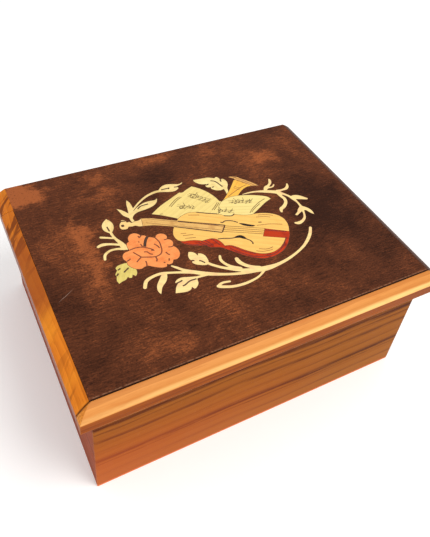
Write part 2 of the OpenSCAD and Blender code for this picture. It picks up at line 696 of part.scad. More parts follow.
module rose_2d() shape([
  [[31.6, 52.4], [31.7, 54.2], [33, 55.8], [35.4, 56.2]],
  [[35.4, 56.2], [35.3, 58.6], [35.9, 60.4], [37, 60.9]],
  [[37, 60.9], [37.3, 62.8], [38.6, 64.4], [40.4, 64.8], [41.9, 63.9], [42.7, 62.5]],
  [[42.7, 62.5], [44.2, 61.9], [45, 60.6]], [[45, 60.6], [46.2, 60], [47.6, 59]],
  [[47.6, 59], [48.6, 60.3], [50.2, 60.6], [51.8, 59.7], [52.4, 58], [51.6, 56.6]],
  [[51.6, 56.6], [53, 55.6], [53.3, 53.8], [52.4, 52.2]],
  [[52.4, 52.2], [53.4, 50.4], [53.5, 48], [52.6, 46], [51, 44.9], [49.4, 45]],
  [[49.4, 45], [48.4, 43.6], [46.9, 43.4], [46.2, 44]],
  [[46.2, 44], [45.6, 42.8], [44, 42.8], [41.6, 44], [39.2, 45.9]],
  [[39.2, 45.9], [37.6, 45.9], [36.2, 45.4], [34.4, 46], [32.9, 47.5], [32.1, 49.4], [32.2, 51.2],
  [31.6, 52.4]]]);

module green_leaf_2d() shape([
  [[25.6, 41.6], [25.3, 43.4], [26, 45.4]], [[26, 45.4], [25.9, 46.6], [27.2, 48.2]],
  [[27.2, 48.2], [27.1, 49.6], [28.4, 50.5], [30.4, 50.7], [32.1, 50.6]], [[32.1, 50.6], [34, 50]],
  [[34, 50], [34.4, 47]], [[34.4, 47], [33.9, 44.2], [32.8, 42.8]], [[32.8, 42.8], [31.9, 43.9]],
  [[31.9, 43.9], [31.2, 42.7], [30.3, 42.8], [29.8, 43.6]],
  [[29.8, 43.6], [28.8, 42.6], [27.2, 42.2], [25.6, 41.6]]]);

module left_sprig_2d() {
  shape([[[31.4, 68.6], [30, 70.6], [30, 73.2], [31.2, 75.3], [33.2, 76.9]],
    [[33.2, 76.9], [34.4, 75], [34.8, 72.6], [34.1, 70.2], [32.9, 68.6]], [[32.9, 68.6], [31.4, 68.6]]]);
  stem([[32.2, 69.4, 1.3], [32.3, 66.5, 1.2], [32.9, 64, 1.4], [33.8, 61.4, 2], [34.2, 59.2, 2.6],
    [34.9, 57.4, 1]]);
  stem([[27.6, 67.4, 1.3], [30, 66.2, 1.1], [32.4, 64.9, 1]]);
  stem([[24.9, 62.8, 1.4], [26.8, 63.2, 1.7], [29.6, 62.5, 1.3], [33.4, 60.6, 1.3]]);
  stem([[25, 55.3, 1.1], [25.9, 57.6, 1.3], [28.2, 59, 1.2], [31, 59, 1.2], [34.2, 57.9, 1.6]]);
}

module upper_leaves_2d() {
  shape([[[39.3, 81.3], [39.9, 78.4], [40.6, 75.9], [42.4, 73.6]],
    [[42.4, 73.6], [43.4, 75.4], [42.4, 77.8], [41, 79.8], [39.3, 81.3]]]);
  shape([[[45.2, 84.9], [44.2, 82.4], [43.6, 79.4], [42.9, 76.2], [42.8, 74]],
    [[42.8, 74], [44.8, 76], [45.9, 78.2], [46.1, 80.6], [46, 83], [45.2, 84.9]]]);
  shape([[[44.2, 76], [46.4, 78], [48.6, 79.4], [51.2, 80.5], [54, 80.8], [56.4, 80.5], [58.1, 81.2]],
    [[58.1, 81.2], [57, 79], [54.6, 77.2], [51, 76.3], [47, 75.9], [44.8, 74.8], [43.6, 73.2]],
    [[43.6, 73.2], [44.2, 76]]]);
  stem([[43, 71.2, 1.4], [42.9, 73.4, 1.5], [43.5, 75.4, 1.8]]);
  stem([[45.4, 77.9, 0.9], [49.6, 81.4, 1], [54, 84, 1.2], [58.6, 85.3, 1.4], [62, 85, 1.6]]);
  shape([[[60.4, 85.6], [62.6, 87.6], [65.4, 88.4], [68.4, 87.6], [71, 86.6], [73.1, 87.4]],
    [[73.1, 87.4], [72.2, 86.2], [69.4, 85.4]],
    [[69.4, 85.4], [69.7, 84], [67.6, 82.8], [65, 83], [62.6, 83.9], [60, 84.6]],
    [[60, 84.6], [60.4, 85.6]]]);
}

module top_leaf_2d() shape([
  [[78.2, 86.8], [81.6, 86.4], [84.8, 86.1], [86.8, 85.2], [87.8, 84.4]],
  [[87.8, 84.4], [89.1, 84.9], [89.9, 83.8], [90, 82.2]],
  [[90, 82.2], [91, 82.8], [91.9, 81.8], [92.2, 80], [91.6, 78], [90.4, 76.2], [89.8, 74.4],
  [89.2, 72.6]],
  [[89.2, 72.6], [87.9, 72]], [[87.9, 72], [88.2, 73.8], [88.4, 75.9]],
  [[88.4, 75.9], [86.6, 75.7], [84.6, 76.5], [83.2, 78.2], [83.5, 79.2]],
  [[83.5, 79.2], [82, 79.7], [81.6, 80.9], [82.7, 81.9]],
  [[82.7, 81.9], [80.4, 82.6], [78.8, 84.2], [78.1, 85.6], [78.2, 86.8]]]);

module right_spray_2d() {
  stem([[94.6, 69.5, 0.5], [97.4, 69.5, 0.9], [101, 69, 1.2], [105, 67.6, 1.8], [108.6, 65.9, 2.2],
    [110.4, 64.8, 2.6]]);
  stem([[110.4, 64.8, 2.6], [110.3, 62.2, 1.7], [110.8, 60, 1.7], [110, 57.6, 1.6], [107.8, 55.6, 1.8],
    [105.7, 54.6, 1.8], [104.9, 53, 1.1]]);
  stem([[110.4, 64.6, 2.4], [112.2, 62.8, 1.5], [113.6, 60.8, 1.3], [114.5, 58.6, 1.8], [115, 55.6, 1.1],
    [114.9, 52.8, 1.4], [114.6, 51, 2.4]]);
  shape([[[113.6, 59.6], [115, 60.5], [116.8, 60.3], [118.6, 59.2], [121, 56.3]],
    [[121, 56.3], [120.3, 55.6], [118, 56.6], [115.6, 57.6], [114, 57.8]], [[114, 57.8], [113.6, 59.6]]]);
  shape([[[115, 53.4], [112.7, 51.8], [111.2, 50.2], [109.4, 49.1]],
    [[109.4, 49.1], [110, 48.3], [111.8, 49], [114, 50]],
    [[114, 50], [115.6, 49.8]], [[115.6, 49.8], [116.4, 47.8], [117.6, 46]],
    [[117.6, 46], [118, 48.4], [117.2, 50.9], [115, 53.4]]]);
  stem([[114.4, 50.6, 1.2], [113.5, 48, 1], [112.2, 45.8, 1.2], [110, 44.4, 1.5], [108, 44, 1.8],
    [106.7, 44.5, 1.2]]);
  stem([[105.4, 68.2, 1.2], [107, 69.6, 2.2], [108.9, 70.7, 1.3], [110.4, 71.9, 1.4],
    [111.2, 73.4, 1.4], [111.4, 74.4, 0.8]]);
  stem([[107.6, 69.4, 1.1], [109.6, 69.1, 0.9], [110.8, 69.6, 0.9], [111.5, 70.3, 0.7]]);
  stem([[110.6, 65.6, 2], [113.2, 65.6, 1.2], [115.3, 65.8, 1.6], [116.8, 67, 1.4], [117.5, 68.4, 0.8]]);
}

module lower_spray_2d() {
  stem([[111.1, 39.6, 1.3], [109, 36.8, 1.5], [106.2, 34.2, 1.5], [102.4, 31.6, 1.3], [97.8, 29.5, 1.2],
    [92, 27.7, 1.4], [86.4, 26.8, 1.7], [81.4, 26.8, 2.6], [77.2, 27.5, 2.4], [73, 27.9, 1.7],
    [68.4, 29, 1.4],
    [63.4, 30.9, 1.5], [58.6, 33.2, 2], [54.4, 35.8, 2], [50.8, 38.6, 1.4], [48.8, 40.8, 1.3],
    [47.4, 42.3, 0.8]]);
  stem([[54.6, 35.6, 1.6], [50, 37.6, 1.3], [46, 39.1, 1.2], [42.4, 40.2, 1.4], [38.6, 40.1, 1.4],
    [35.4, 38.9, 1.6], [33.7, 36.2, 1.5]]);
  stem([[59, 32.8, 1.2], [54.4, 33.2, 1.2], [51, 33.4, 1.2]]);
  shape([[[43, 29.2], [44.4, 31.8], [46, 33.4]],
    [[46, 33.4], [45, 33.9], [46.2, 35.1], [48.4, 35.5], [51, 34.7], [54.6, 33.6]],
    [[54.6, 33.6], [53.6, 32.2]], [[53.6, 32.2], [53.2, 30.4], [52, 29], [50.6, 28.4], [50, 29.6]],
    [[50, 29.6], [49.2, 28.6], [47.4, 28.2], [45.2, 28.6], [43, 29.2]]]);
  shape([[[38, 30.8], [37.4, 32.8], [38.2, 35.4], [40, 37.6], [42, 39.8]], [[42, 39.8], [44.2, 39.8]],
    [[44.2, 39.8], [43.6, 37.8], [42.2, 35.8], [40, 34], [38.8, 32.2], [38, 30.8]]]);
  shape([[[56.6, 46.6], [55.5, 44.6], [55.4, 42.6], [56.5, 41.7]],
    [[56.5, 41.7], [55.5, 41], [56.4, 39.4], [58.6, 38], [60.4, 37.4]],
    [[60.4, 37.4], [61.6, 38.4], [62.1, 40], [62, 42.4], [61, 43.9], [59.8, 44.5]],
    [[59.8, 44.5], [59.3, 43.4]],
    [[59.3, 43.4], [58.9, 45], [57.8, 46.2], [56.6, 46.6]]]);
  stem([[60.8, 38.6, 1.4], [62.6, 36.4, 1.4], [65.2, 34, 1.4], [68.6, 31.6, 1.7], [72.4, 29.4, 1.8],
    [76.6, 28, 2]]);
  stem([[67.3, 39.8, 1.1], [66.6, 37.6, 1.4], [67.4, 35, 1.4], [69, 32.8, 1.6], [71.6, 30.6, 2]]);
  stem([[72.8, 35.8, 1.8], [72.9, 34, 2.1], [74.1, 31.8, 1.8], [76.2, 29.7, 1.8], [79, 28, 2]]);
  stem([[80, 26.2, 1.2], [76, 24.1, 1], [70.4, 23.2, 1.3], [65, 23.6, 1.4], [60.6, 25.2, 1.5],
    [59.3, 26, 1.4]]);
  stem([[59.3, 26, 1.4], [61.6, 26.9, 1.2], [64.6, 26.4, 1]]);
}

module violin_2d() {
  violin_table_2d();
  fingerboard_2d();
  tailpiece_2d();
}

// ---------------------------------------------------------------- inlay pieces

module inlay_violin_table() color("sandybrown") inlay() difference() {
  violin_table_2d();
  fingerboard_2d();
  tailpiece_2d();
  sound_holes_2d();
}

module inlay_violin_rib() color("firebrick") inlay() difference() {
  rib_2d();
  violin_2d();
}

module inlay_fingerboard() color("burlywood") inlay() fingerboard_2d();
module inlay_tailpiece() color("firebrick") inlay() tailpiece_2d();
module inlay_scroll() color("wheat") inlay() scroll_2d();
module inlay_sound_holes() color("black") inlay() sound_holes_2d();

module inlay_left_page() color("khaki") inlay() difference() {
  left_page_2d();
  violin_2d();
  right_page_2d();
}

module inlay_right_page() color("khaki") inlay() difference() {
  right_page_2d();
  violin_2d();
}

module inlay_horn() color("goldenrod") inlay() difference() {
  horn_2d();
  right_page_2d();
}

module inlay_horn_rim() color("tan") inlay() difference() {
  horn_rim_2d();
  horn_2d();
}

module inlay_rose() color("coral") inlay() rose_2d();

module inlay_green_leaf() color("darkkhaki") inlay() difference() {
  green_leaf_2d();
  rose_2d();
}

module inlay_left_sprig() color("wheat") inlay() difference() {
  left_sprig_2d();
  rose_2d();
}

module inlay_upper_leaves() color("wheat") inlay() difference() {
  upper_leaves_2d();
  scroll_2d();
}

module inlay_top_leaf() color("wheat") inlay() difference() {
  top_leaf_2d();
  horn_2d();
}

module inlay_right_spray() color("wheat") inlay() difference() {
  right_spray_2d();
  right_page_2d();
}

module inlay_lower_spray() color("wheat") inlay() lower_spray_2d();

// Dark panel veneer, cut out for every inlay piece
module top_veneer() color("saddlebrown") on_panel() along_z(core_top, 0) difference() {
  square([panel_w, panel_d]);
  scale(art_k) {
    violin_2d();
    rib_2d();
    scroll_2d();
    left_page_2d();
    right_page_2d();
    horn_2d();
    horn_rim_2d();
    rose_2d();
    green_leaf_2d();
    left_sprig_2d();
    upper_leaves_2d();
    top_leaf_2d();
    right_spray_2d();
    lower_spray_2d();
  }
}

// ---------------------------------------------------------------- nodes

front_wall();
back_wall();
left_wall();
right_wall();
bottom_board();
front_veneer();
back_veneer();
left_veneer();
right_veneer();
floor_lining();
strike_plate();
strike_screws();
left_hinge_wall_leaf();
right_hinge_wall_leaf();
left_hinge_pin();
right_hinge_pin();
hinge_wall_screws();
lid_core();
lid_backing();
lid_back_edging();
right_moulding();
left_moulding_block();
front_rail();
left_hinge_lid_leaf();
right_hinge_lid_leaf();
hinge_lid_screws();
lock_case();
lock_cover();
lock_post();
lock_spring();
lock_screws();
keyhole_plate();
lock_bolt();
front_moulding();
side_moulding();
drawer_tray();
key();
top_veneer();
inlay_violin_table();
inlay_violin_rib();
inlay_fingerboard();
inlay_tailpiece();
inlay_scroll();
inlay_sound_holes();
inlay_left_page();
inlay_right_page();
inlay_horn();
inlay_horn_rim();
inlay_rose();
inlay_green_leaf();
inlay_left_sprig();
inlay_upper_leaves();
inlay_top_leaf();
inlay_right_spray();
inlay_lower_spray();
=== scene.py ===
"""Finishes, fine marquetry lines, light and camera for an inlaid wooden puzzle box."""

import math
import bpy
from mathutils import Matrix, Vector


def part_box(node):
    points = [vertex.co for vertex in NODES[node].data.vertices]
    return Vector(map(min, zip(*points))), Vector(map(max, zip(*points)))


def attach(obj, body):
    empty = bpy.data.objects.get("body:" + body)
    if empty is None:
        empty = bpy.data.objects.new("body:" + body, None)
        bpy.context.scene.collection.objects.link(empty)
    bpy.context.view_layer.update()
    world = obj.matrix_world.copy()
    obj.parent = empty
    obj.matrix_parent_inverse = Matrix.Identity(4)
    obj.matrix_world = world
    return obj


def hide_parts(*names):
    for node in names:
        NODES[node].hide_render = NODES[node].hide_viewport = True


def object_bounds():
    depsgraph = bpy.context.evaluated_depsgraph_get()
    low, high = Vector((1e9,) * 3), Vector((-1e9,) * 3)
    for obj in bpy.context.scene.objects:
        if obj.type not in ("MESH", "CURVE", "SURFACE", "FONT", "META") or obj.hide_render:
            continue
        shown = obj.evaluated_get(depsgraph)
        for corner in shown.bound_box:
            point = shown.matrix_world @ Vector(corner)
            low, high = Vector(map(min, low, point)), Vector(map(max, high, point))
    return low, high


bl_info = {
    "name": "Inlaid Puzzle Box",
    "version": (1, 0, 0),
    "blender": (4, 5, 0),
    "location": "3D View > Sidebar > Puzzle Box",
    "description": "Finishes an inlaid wooden puzzle box and sets it on a pale studio floor",
    "category": "Object",
}

import bmesh
import bpy
from mathutils import Vector

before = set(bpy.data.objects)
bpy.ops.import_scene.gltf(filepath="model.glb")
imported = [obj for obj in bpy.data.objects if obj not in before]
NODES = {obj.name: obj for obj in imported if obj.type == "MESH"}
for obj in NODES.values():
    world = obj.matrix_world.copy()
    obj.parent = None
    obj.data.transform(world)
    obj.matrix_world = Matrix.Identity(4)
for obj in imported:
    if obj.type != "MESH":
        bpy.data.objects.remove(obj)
CAD_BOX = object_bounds()

MM = 0.001
PANEL_LOW, PANEL_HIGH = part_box("top_veneer")
LINING_LOW, LINING_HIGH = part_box("floor_lining")
LINING_FLAT = (LINING_HIGH.x - LINING_LOW.x, LINING_HIGH.y - LINING_LOW.y)
INLAYS = sorted(name for name in NODES if name.startswith("inlay_"))
BOX_MIDDLE = Vector((0.0, 0.0, 0.03))

# Levels on the lid's bars, in millimetres
BAR_TOP = PANEL_HIGH.z / MM
BEVEL_FOOT = BAR_TOP - 3.8


def paint(red, green, blue):
    """A colour from its everyday 0 to 255 values, as the linear colour that shaders use."""
    parts = []
    for value in (red, green, blue):
        part = value / 255
        parts.append(part / 12.92 if part <= 0.04045 else ((part + 0.055) / 1.055) ** 2.4)
    return (*parts, 1.0)


def on_panel(x, y):
    """A point on the lid panel, in millimetres from its front left corner."""
    return Vector((PANEL_LOW.x + x * MM, PANEL_LOW.y + y * MM, PANEL_HIGH.z))


# ---------------------------------------------------------------- settings


def colour_setting(label, about, rgb):
    """A colour that a user can change in the sidebar."""
    return bpy.props.FloatVectorProperty(
        name=label, description=about, subtype="COLOR", size=4, min=0.0, max=1.0,
        default=paint(*rgb),
    )


def length_setting(label, about, millimetres):
    """A length that a user can change in the sidebar."""
    return bpy.props.FloatProperty(
        name=label, description=about, subtype="DISTANCE", unit="LENGTH", precision=5,
        default=millimetres * MM,
    )


def power_setting(label, about, watts):
    """The power of a light that a user can change in the sidebar."""
    return bpy.props.FloatProperty(
        name=label, description=about, subtype="POWER", unit="POWER", default=watts, min=0.0
    )


class PUZZLEBOX_PG_woods(bpy.types.PropertyGroup):
    burl_dark: colour_setting("Burl, dark", "Darkest part of the burl panel", (52, 26, 15))
    burl_mid: colour_setting("Burl, middle", "Main brown of the burl panel", (95, 51, 30))
    burl_light: colour_setting("Burl, light", "Reddish clouds of the burl panel", (160, 88, 48))
    front_bar: colour_setting("Front bar", "Pale honey wood of the front bar", (213, 140, 72))
    side_bar: colour_setting("Side bar", "Figured orange wood of the side bars", (206, 114, 28))
    front_board: colour_setting("Front of the box", "Orange brown front veneer", (151, 86, 22))
    side_board: colour_setting("Side of the box", "Reddish brown side veneer", (148, 64, 24))
    stems: colour_setting("Stems", "Cream wood of the stems and leaves", (250, 220, 150))
    table: colour_setting("Violin table", "Golden wood of the violin", (246, 196, 106))
    red_wood: colour_setting("Red wood", "Dyed wood of the violin's ribs", (193, 56, 14))
    rose: colour_setting("Rose", "Salmon wood of the rose", (248, 153, 86))


class PUZZLEBOX_PG_lines(bpy.types.PropertyGroup):
    saw_width: length_setting("Saw cut", "Width of the saw cuts inside the pieces", 0.54)
    pen_width: length_setting("Scorched line", "Width of the finer scorched lines", 0.34)
    glue_width: length_setting("Glue line", "Width of the glue line round each piece", 0.16)
    string_width: length_setting("String", "Width of a violin string", 0.2)
    height: length_setting("Height", "How far the lines stand above the wood", 0.02)
    strings: bpy.props.IntProperty(
        name="Strings", description="Number of strings on the violin", default=4, min=2, max=8
    )


class PUZZLEBOX_PG_studio(bpy.types.PropertyGroup):
    floor: colour_setting("Floor", "Colour of the studio floor", (251, 252, 253))
    sky: bpy.props.FloatProperty(
        name="Sky", description="Strength of the even light all round", default=0.72, min=0.0
    )
    main_light: power_setting("Main light", "Power of the main soft light", 4.6)
    side_light: power_setting("Side light", "Power of the low soft light", 1.2)
    focal_length: bpy.props.FloatProperty(
        name="Lens", description="Focal length of the camera, in millimetres", default=40.83, min=10
    )


# ---------------------------------------------------------------- wiring of materials


def place(tree, kind, sockets=None, family="ShaderNode", **fields):
    """Adds a node. A socket given a socket is linked, and one given a value is set."""
    node = tree.nodes.new(family + kind)
    for field, value in fields.items():
        setattr(node, field, value)
    for key, value in (sockets or {}).items():
        if isinstance(value, bpy.types.NodeSocket):
            tree.links.new(value, node.inputs[key])
        else:
            node.inputs[key].default_value = value
    return node


def maths(tree, operation, first, second=0.0, clamp=False):
    """One sum on numbers or sockets, in a material or in a geometry tree."""
    node = place(tree, "Math", {0: first, 1: second}, operation=operation, use_clamp=clamp)
    return node.outputs[0]


def plus(tree, first, second, clamp=False):
    return maths(tree, "ADD", first, second, clamp)


def minus(tree, first, second):
    return maths(tree, "SUBTRACT", first, second)


def times(tree, first, second, clamp=False):
    return maths(tree, "MULTIPLY", first, second, clamp)


def apart(tree, first, second):
    """How far two values are from each other."""
    return maths(tree, "ABSOLUTE", minus(tree, first, second))


def mixture(tree, *parts):
    """Adds up (value, share) pairs, each times its share."""
    total = times(tree, *parts[0])
    for value, share in parts[1:]:
        total = plus(tree, total, times(tree, value, share))
    return total


def vector_maths(tree, operation, first, second):
    key = "Scale" if operation == "SCALE" else 1
    node = place(tree, "VectorMath", {0: first, key: second}, operation=operation)
    return node.outputs["Value" if operation == "DOT_PRODUCT" else "Vector"]


def between(tree, value, low, high, start=0.0, end=1.0):
    """Turns low..high into start..end, softly and clamped."""
    sockets = {"Value": value, "From Min": low, "From Max": high, "To Min": start, "To Max": end}
    return place(tree, "MapRange", sockets, interpolation_type="SMOOTHSTEP").outputs["Result"]


def noise(tree, vector, scale, detail=2.0, roughness=0.5, distortion=0.0, output="Fac"):
    """Soft random values over the surface."""
    sockets = {"Vector": vector, "Scale": scale, "Detail": detail, "Roughness": roughness,
               "Distortion": distortion}
    return place(tree, "TexNoise", sockets).outputs[output]


def streaks(tree, where, stretch, *more, **named):
    """Random values that are drawn out where the stretch is small."""
    return noise(tree, mapping(tree, where, stretch), 1.0, *more, **named)


def blend(tree, factor, first, second):
    """Mixes two colours."""
    return place(tree, "Mix", {0: factor, 6: first, 7: second}, data_type="RGBA").outputs[2]


def stain(tree, colour, mask, strength, tone):
    """Lays a second colour over the first, where the mask says and as strongly as asked."""
    return blend(tree, times(tree, mask, strength), colour, tone)


def ramp(tree, value, *stops):
    """A colour ramp through (place, colour) stops."""
    node = place(tree, "ValToRGB", {"Fac": value})
    marks = node.color_ramp.elements
    while len(marks) < len(stops):
        marks.new(0.5)
    for mark, (where, colour) in zip(marks, stops):
        mark.position = where
    for mark, (where, colour) in zip(marks, stops):
        mark.color = colour
    return node.outputs["Color"]


def mapping(tree, vector, scale=(1, 1, 1), turn=(0, 0, 0), shift=(0, 0, 0)):
    """Stretches, turns (in degrees) and shifts a place."""
    turn = [math.radians(angle) for angle in turn]
    sockets = {"Vector": vector, "Scale": scale, "Rotation": turn, "Location": shift}
    return place(tree, "Mapping", sockets).outputs["Vector"]


def in_millimetres(tree, here):
    """X, Y and Z of the place on the object, in millimetres."""
    return place(tree, "SeparateXYZ", {"Vector": mapping(tree, here, (1000, 1000, 1000))}).outputs


def shader_group(name, inputs, outputs):
    """An empty shader node group, with its input and output nodes."""
    tree = bpy.data.node_groups.new(name, "ShaderNodeTree")
    for label, kind, default in inputs:
        made = tree.interface.new_socket(label, in_out="INPUT", socket_type="NodeSocket" + kind)
        if default is not None:
            made.default_value = default
    for label, kind in outputs:
        tree.interface.new_socket(label, in_out="OUTPUT", socket_type="NodeSocket" + kind)
    return tree, tree.nodes.new("NodeGroupInput").outputs, tree.nodes.new("NodeGroupOutput").inputs


def give(tree, result, **values):
    """Links values to the outputs of a group."""
    for name, value in values.items():
        tree.links.new(value, result[name])


def use_group(tree, name, **sockets):
    """Places a shared group in a material; an underscore in a socket's name is a space."""
    node = tree.nodes.new("ShaderNodeGroup")
    node.node_tree = bpy.data.node_groups[name]
    for key, value in sockets.items():
        target = node.inputs[key.replace("_", " ")]
        if isinstance(value, bpy.types.NodeSocket):
            tree.links.new(value, target)
        else:
            target.default_value = value
    return node.outputs


def build_board_grain():
    """Grain of a sawn board whose fibres run along X."""
    tree, given, result = shader_group(
        "Board grain",
        [("Vector", "Vector", None), ("Ring Spacing", "Float", 3.0), ("Wander", "Float", 2.0),
         ("Seed", "Float", 0.0)],
        [("Rings", "Float"), ("Fibre", "Float"), ("Pores", "Float"), ("Figure", "Float")],
    )
    seed = vector_maths(tree, "SCALE", (17.0, 31.0, 53.0), given["Seed"])
    mm = vector_maths(tree, "SCALE", given["Vector"], 1000.0)
    mm = vector_maths(tree, "ADD", mm, seed)
    sway = streaks(tree, mm, (0.012, 0.05, 0.05), 2.0, output="Color")
    sway = vector_maths(tree, "SUBTRACT", sway, (0.5, 0.5, 0.5))
    sway = vector_maths(tree, "SCALE", sway, given["Wander"])
    bent = vector_maths(tree, "ADD", mm, vector_maths(tree, "SCALE", sway, 4.0))
    rings = place(
        tree, "TexWave",
        {"Vector": mapping(tree, bent, (0.02, 1, 1), shift=(0, 34, 21)),
         "Scale": maths(tree, "DIVIDE", 0.314, given["Ring Spacing"]),
         "Distortion": 1.2, "Detail": 2.0, "Detail Scale": 0.6},
        wave_type="RINGS", rings_direction="X", wave_profile="SAW",
    ).outputs["Fac"]
    fibre = streaks(tree, bent, (0.05, 2.4, 2.4), 3.0, 0.6)
    pores = streaks(tree, bent, (0.22, 3.6, 3.6), 1.0)
    figure = streaks(tree, bent, (0.02, 0.07, 0.07), 2.0)
    pores = between(tree, pores, 0.60, 0.72)
    give(tree, result, Rings=rings, Fibre=fibre, Pores=pores, Figure=figure)


def build_burl_figure():
    """Clouds, curling fibres, speckle and small eyes of a burl."""
    tree, given, result = shader_group(
        "Burl figure",
        [("Vector", "Vector", None), ("Cloud Size", "Float", 24.0), ("Curl", "Float", 14.0),
         ("Seed", "Float", 0.0)],
        [("Clouds", "Float"), ("Fibre", "Float"), ("Speckle", "Float"), ("Eyes", "Float")],
    )
    seed = vector_maths(tree, "SCALE", (13.0, 29.0, 47.0), given["Seed"])
    mm = vector_maths(tree, "SCALE", given["Vector"], 1000.0)
    mm = vector_maths(tree, "ADD", mm, seed)
    drift = noise(tree, mm, 0.03, 3.0, output="Color")
    drift = vector_maths(tree, "SUBTRACT", drift, (0.5, 0.5, 0.5))
    swirl = vector_maths(tree, "ADD", mm, vector_maths(tree, "SCALE", drift, given["Curl"]))
    clouds = noise(tree, swirl, maths(tree, "DIVIDE", 1.0, given["Cloud Size"]), 5.0, 0.55, 0.4)
    curled = vector_maths(tree, "ADD", mm, vector_maths(tree, "SCALE", drift, 70.0))
    fibre = streaks(tree, curled, (0.35, 1.1, 1.0), 3.0, 0.6, 0.3)
    speckle = noise(tree, mm, 1.5, 3.0, 0.7)
    sockets = {"Vector": swirl, "Scale": 0.075, "Smoothness": 0.4}
    eyes = place(tree, "TexVoronoi", sockets, feature="SMOOTH_F1").outputs["Distance"]
    eyes = between(tree, eyes, 0.2, 0.05)
    give(tree, result, Clouds=clouds, Fibre=fibre, Speckle=speckle, Eyes=eyes)


def build_edge_wear_and_highlight():
    """Rubbed edges and painted edge highlights: a mask along sharp edges, and a normal that rounds
    them.
    """
    tree, given, result = shader_group(
        "Edge wear",
        [("Vector", "Vector", None), ("Radius", "Float", 0.0006), ("Amount", "Float", 1.0)],
        [("Wear", "Float"), ("Normal", "Vector")],
    )
    rounded = place(tree, "Bevel", {"Radius": given["Radius"]}, samples=6).outputs["Normal"]
    flat = tree.nodes.new("ShaderNodeNewGeometry").outputs["True Normal"]
    turned = minus(tree, 1.0, vector_maths(tree, "DOT_PRODUCT", rounded, flat))
    rubbed_and_highlit = times(tree, between(tree, turned, 0.01, 0.22), given["Amount"])
    patchy = between(tree, noise(tree, given["Vector"], 260.0, 3.0), 0.3, 0.62)
    give(tree, result, Wear=times(tree, rubbed_and_highlit, patchy, clamp=True), Normal=rounded)


def build_hand_polish():
    """Uneven gloss of a hand-rubbed varnish, with soft ripples and specks of dust."""
    tree, given, result = shader_group(
        "Hand polish",
        [("Vector", "Vector", None), ("Gloss", "Float", 0.35), ("Unevenness", "Float", 0.12)],
        [("Roughness", "Float"), ("Ripple", "Float"), ("Dust", "Float")],
    )
    cloud = noise(tree, given["Vector"], 55.0, 3.0, 0.6)
    rub = streaks(tree, given["Vector"], (60, 420, 420), 2.0)
    mixed = mixture(tree, (cloud, 0.65), (rub, 0.35))
    swing = times(tree, minus(tree, mixed, 0.5), 2.0)
    swing = times(tree, swing, given["Unevenness"])
    ripple = noise(tree, given["Vector"], 130.0, 2.0)
    dust = between(tree, noise(tree, given["Vector"], 900.0, 1.0), 0.7, 0.8)
    roughness = plus(tree, given["Gloss"], swing, clamp=True)
    give(tree, result, Roughness=roughness, Ripple=ripple, Dust=dust)


def build_metal_patina():
    """Tarnish, brushing marks and fine scratches of old metal."""
    tree, given, result = shader_group(
        "Metal patina",
        [("Vector", "Vector", None), ("Age", "Float", 0.5)],
        [("Tarnish", "Float"), ("Brushing", "Float"), ("Roughness", "Float")],
    )
    spots = noise(tree, given["Vector"], 150.0, 4.0, 0.65)
    brushed = streaks(tree, given["Vector"], (120, 2600, 2600), 2.0)
    tarnish = times(tree, between(tree, spots, 0.42, 0.68), given["Age"])
    rough = plus(tree, mixture(tree, (brushed, 0.22), (tarnish, 0.4)), 0.16)
    give(tree, result, Tarnish=tarnish, Brushing=brushed, Roughness=rough)


def build_felt_nap():
    """Short matted fibres of felt."""
    tree, given, result = shader_group(
        "Felt nap",
        [("Vector", "Vector", None), ("Fibre Size", "Float", 0.4)],
        [("Fibres", "Float"), ("Rubbed", "Float")],
    )
    scale = maths(tree, "DIVIDE", 1000.0, given["Fibre Size"])
    fibres = noise(tree, given["Vector"], scale, 4.0, 0.75, 1.5)
    give(tree, result, Fibres=fibres, Rubbed=noise(tree, given["Vector"], 45.0, 3.0))


def new_material(name):
    """An empty material with its shader, and the place on the object as a vector."""
    material = bpy.data.materials.new(name)
    material.use_nodes = True
    tree = material.node_tree
    shader = tree.nodes["Principled BSDF"]
    here = tree.nodes.new("ShaderNodeTexCoord").outputs["Object"]
    return material, tree, shader, here


def finish_surface(tree, shader, colour, roughness, height, depth, strength, normal=None):
    """Feeds the varying colour, roughness and relief into the shader."""
    tree.links.new(colour, shader.inputs["Base Color"])
    tree.links.new(roughness, shader.inputs["Roughness"])
    sockets = {"Height": height, "Distance": depth, "Strength": strength}
    if normal is not None:
        sockets["Normal"] = normal
    tree.links.new(place(tree, "Bump", sockets).outputs["Normal"], shader.inputs["Normal"])


def shade(colour, factor, warm=0.0):
    """A lighter or darker colour, drifting to red as warm grows."""
    red, green, blue, alpha = colour
    parts = (red * factor * (1 + warm), green * factor, blue * factor * (1 - warm))
    return (*(min(1.0, part) for part in parts), alpha)


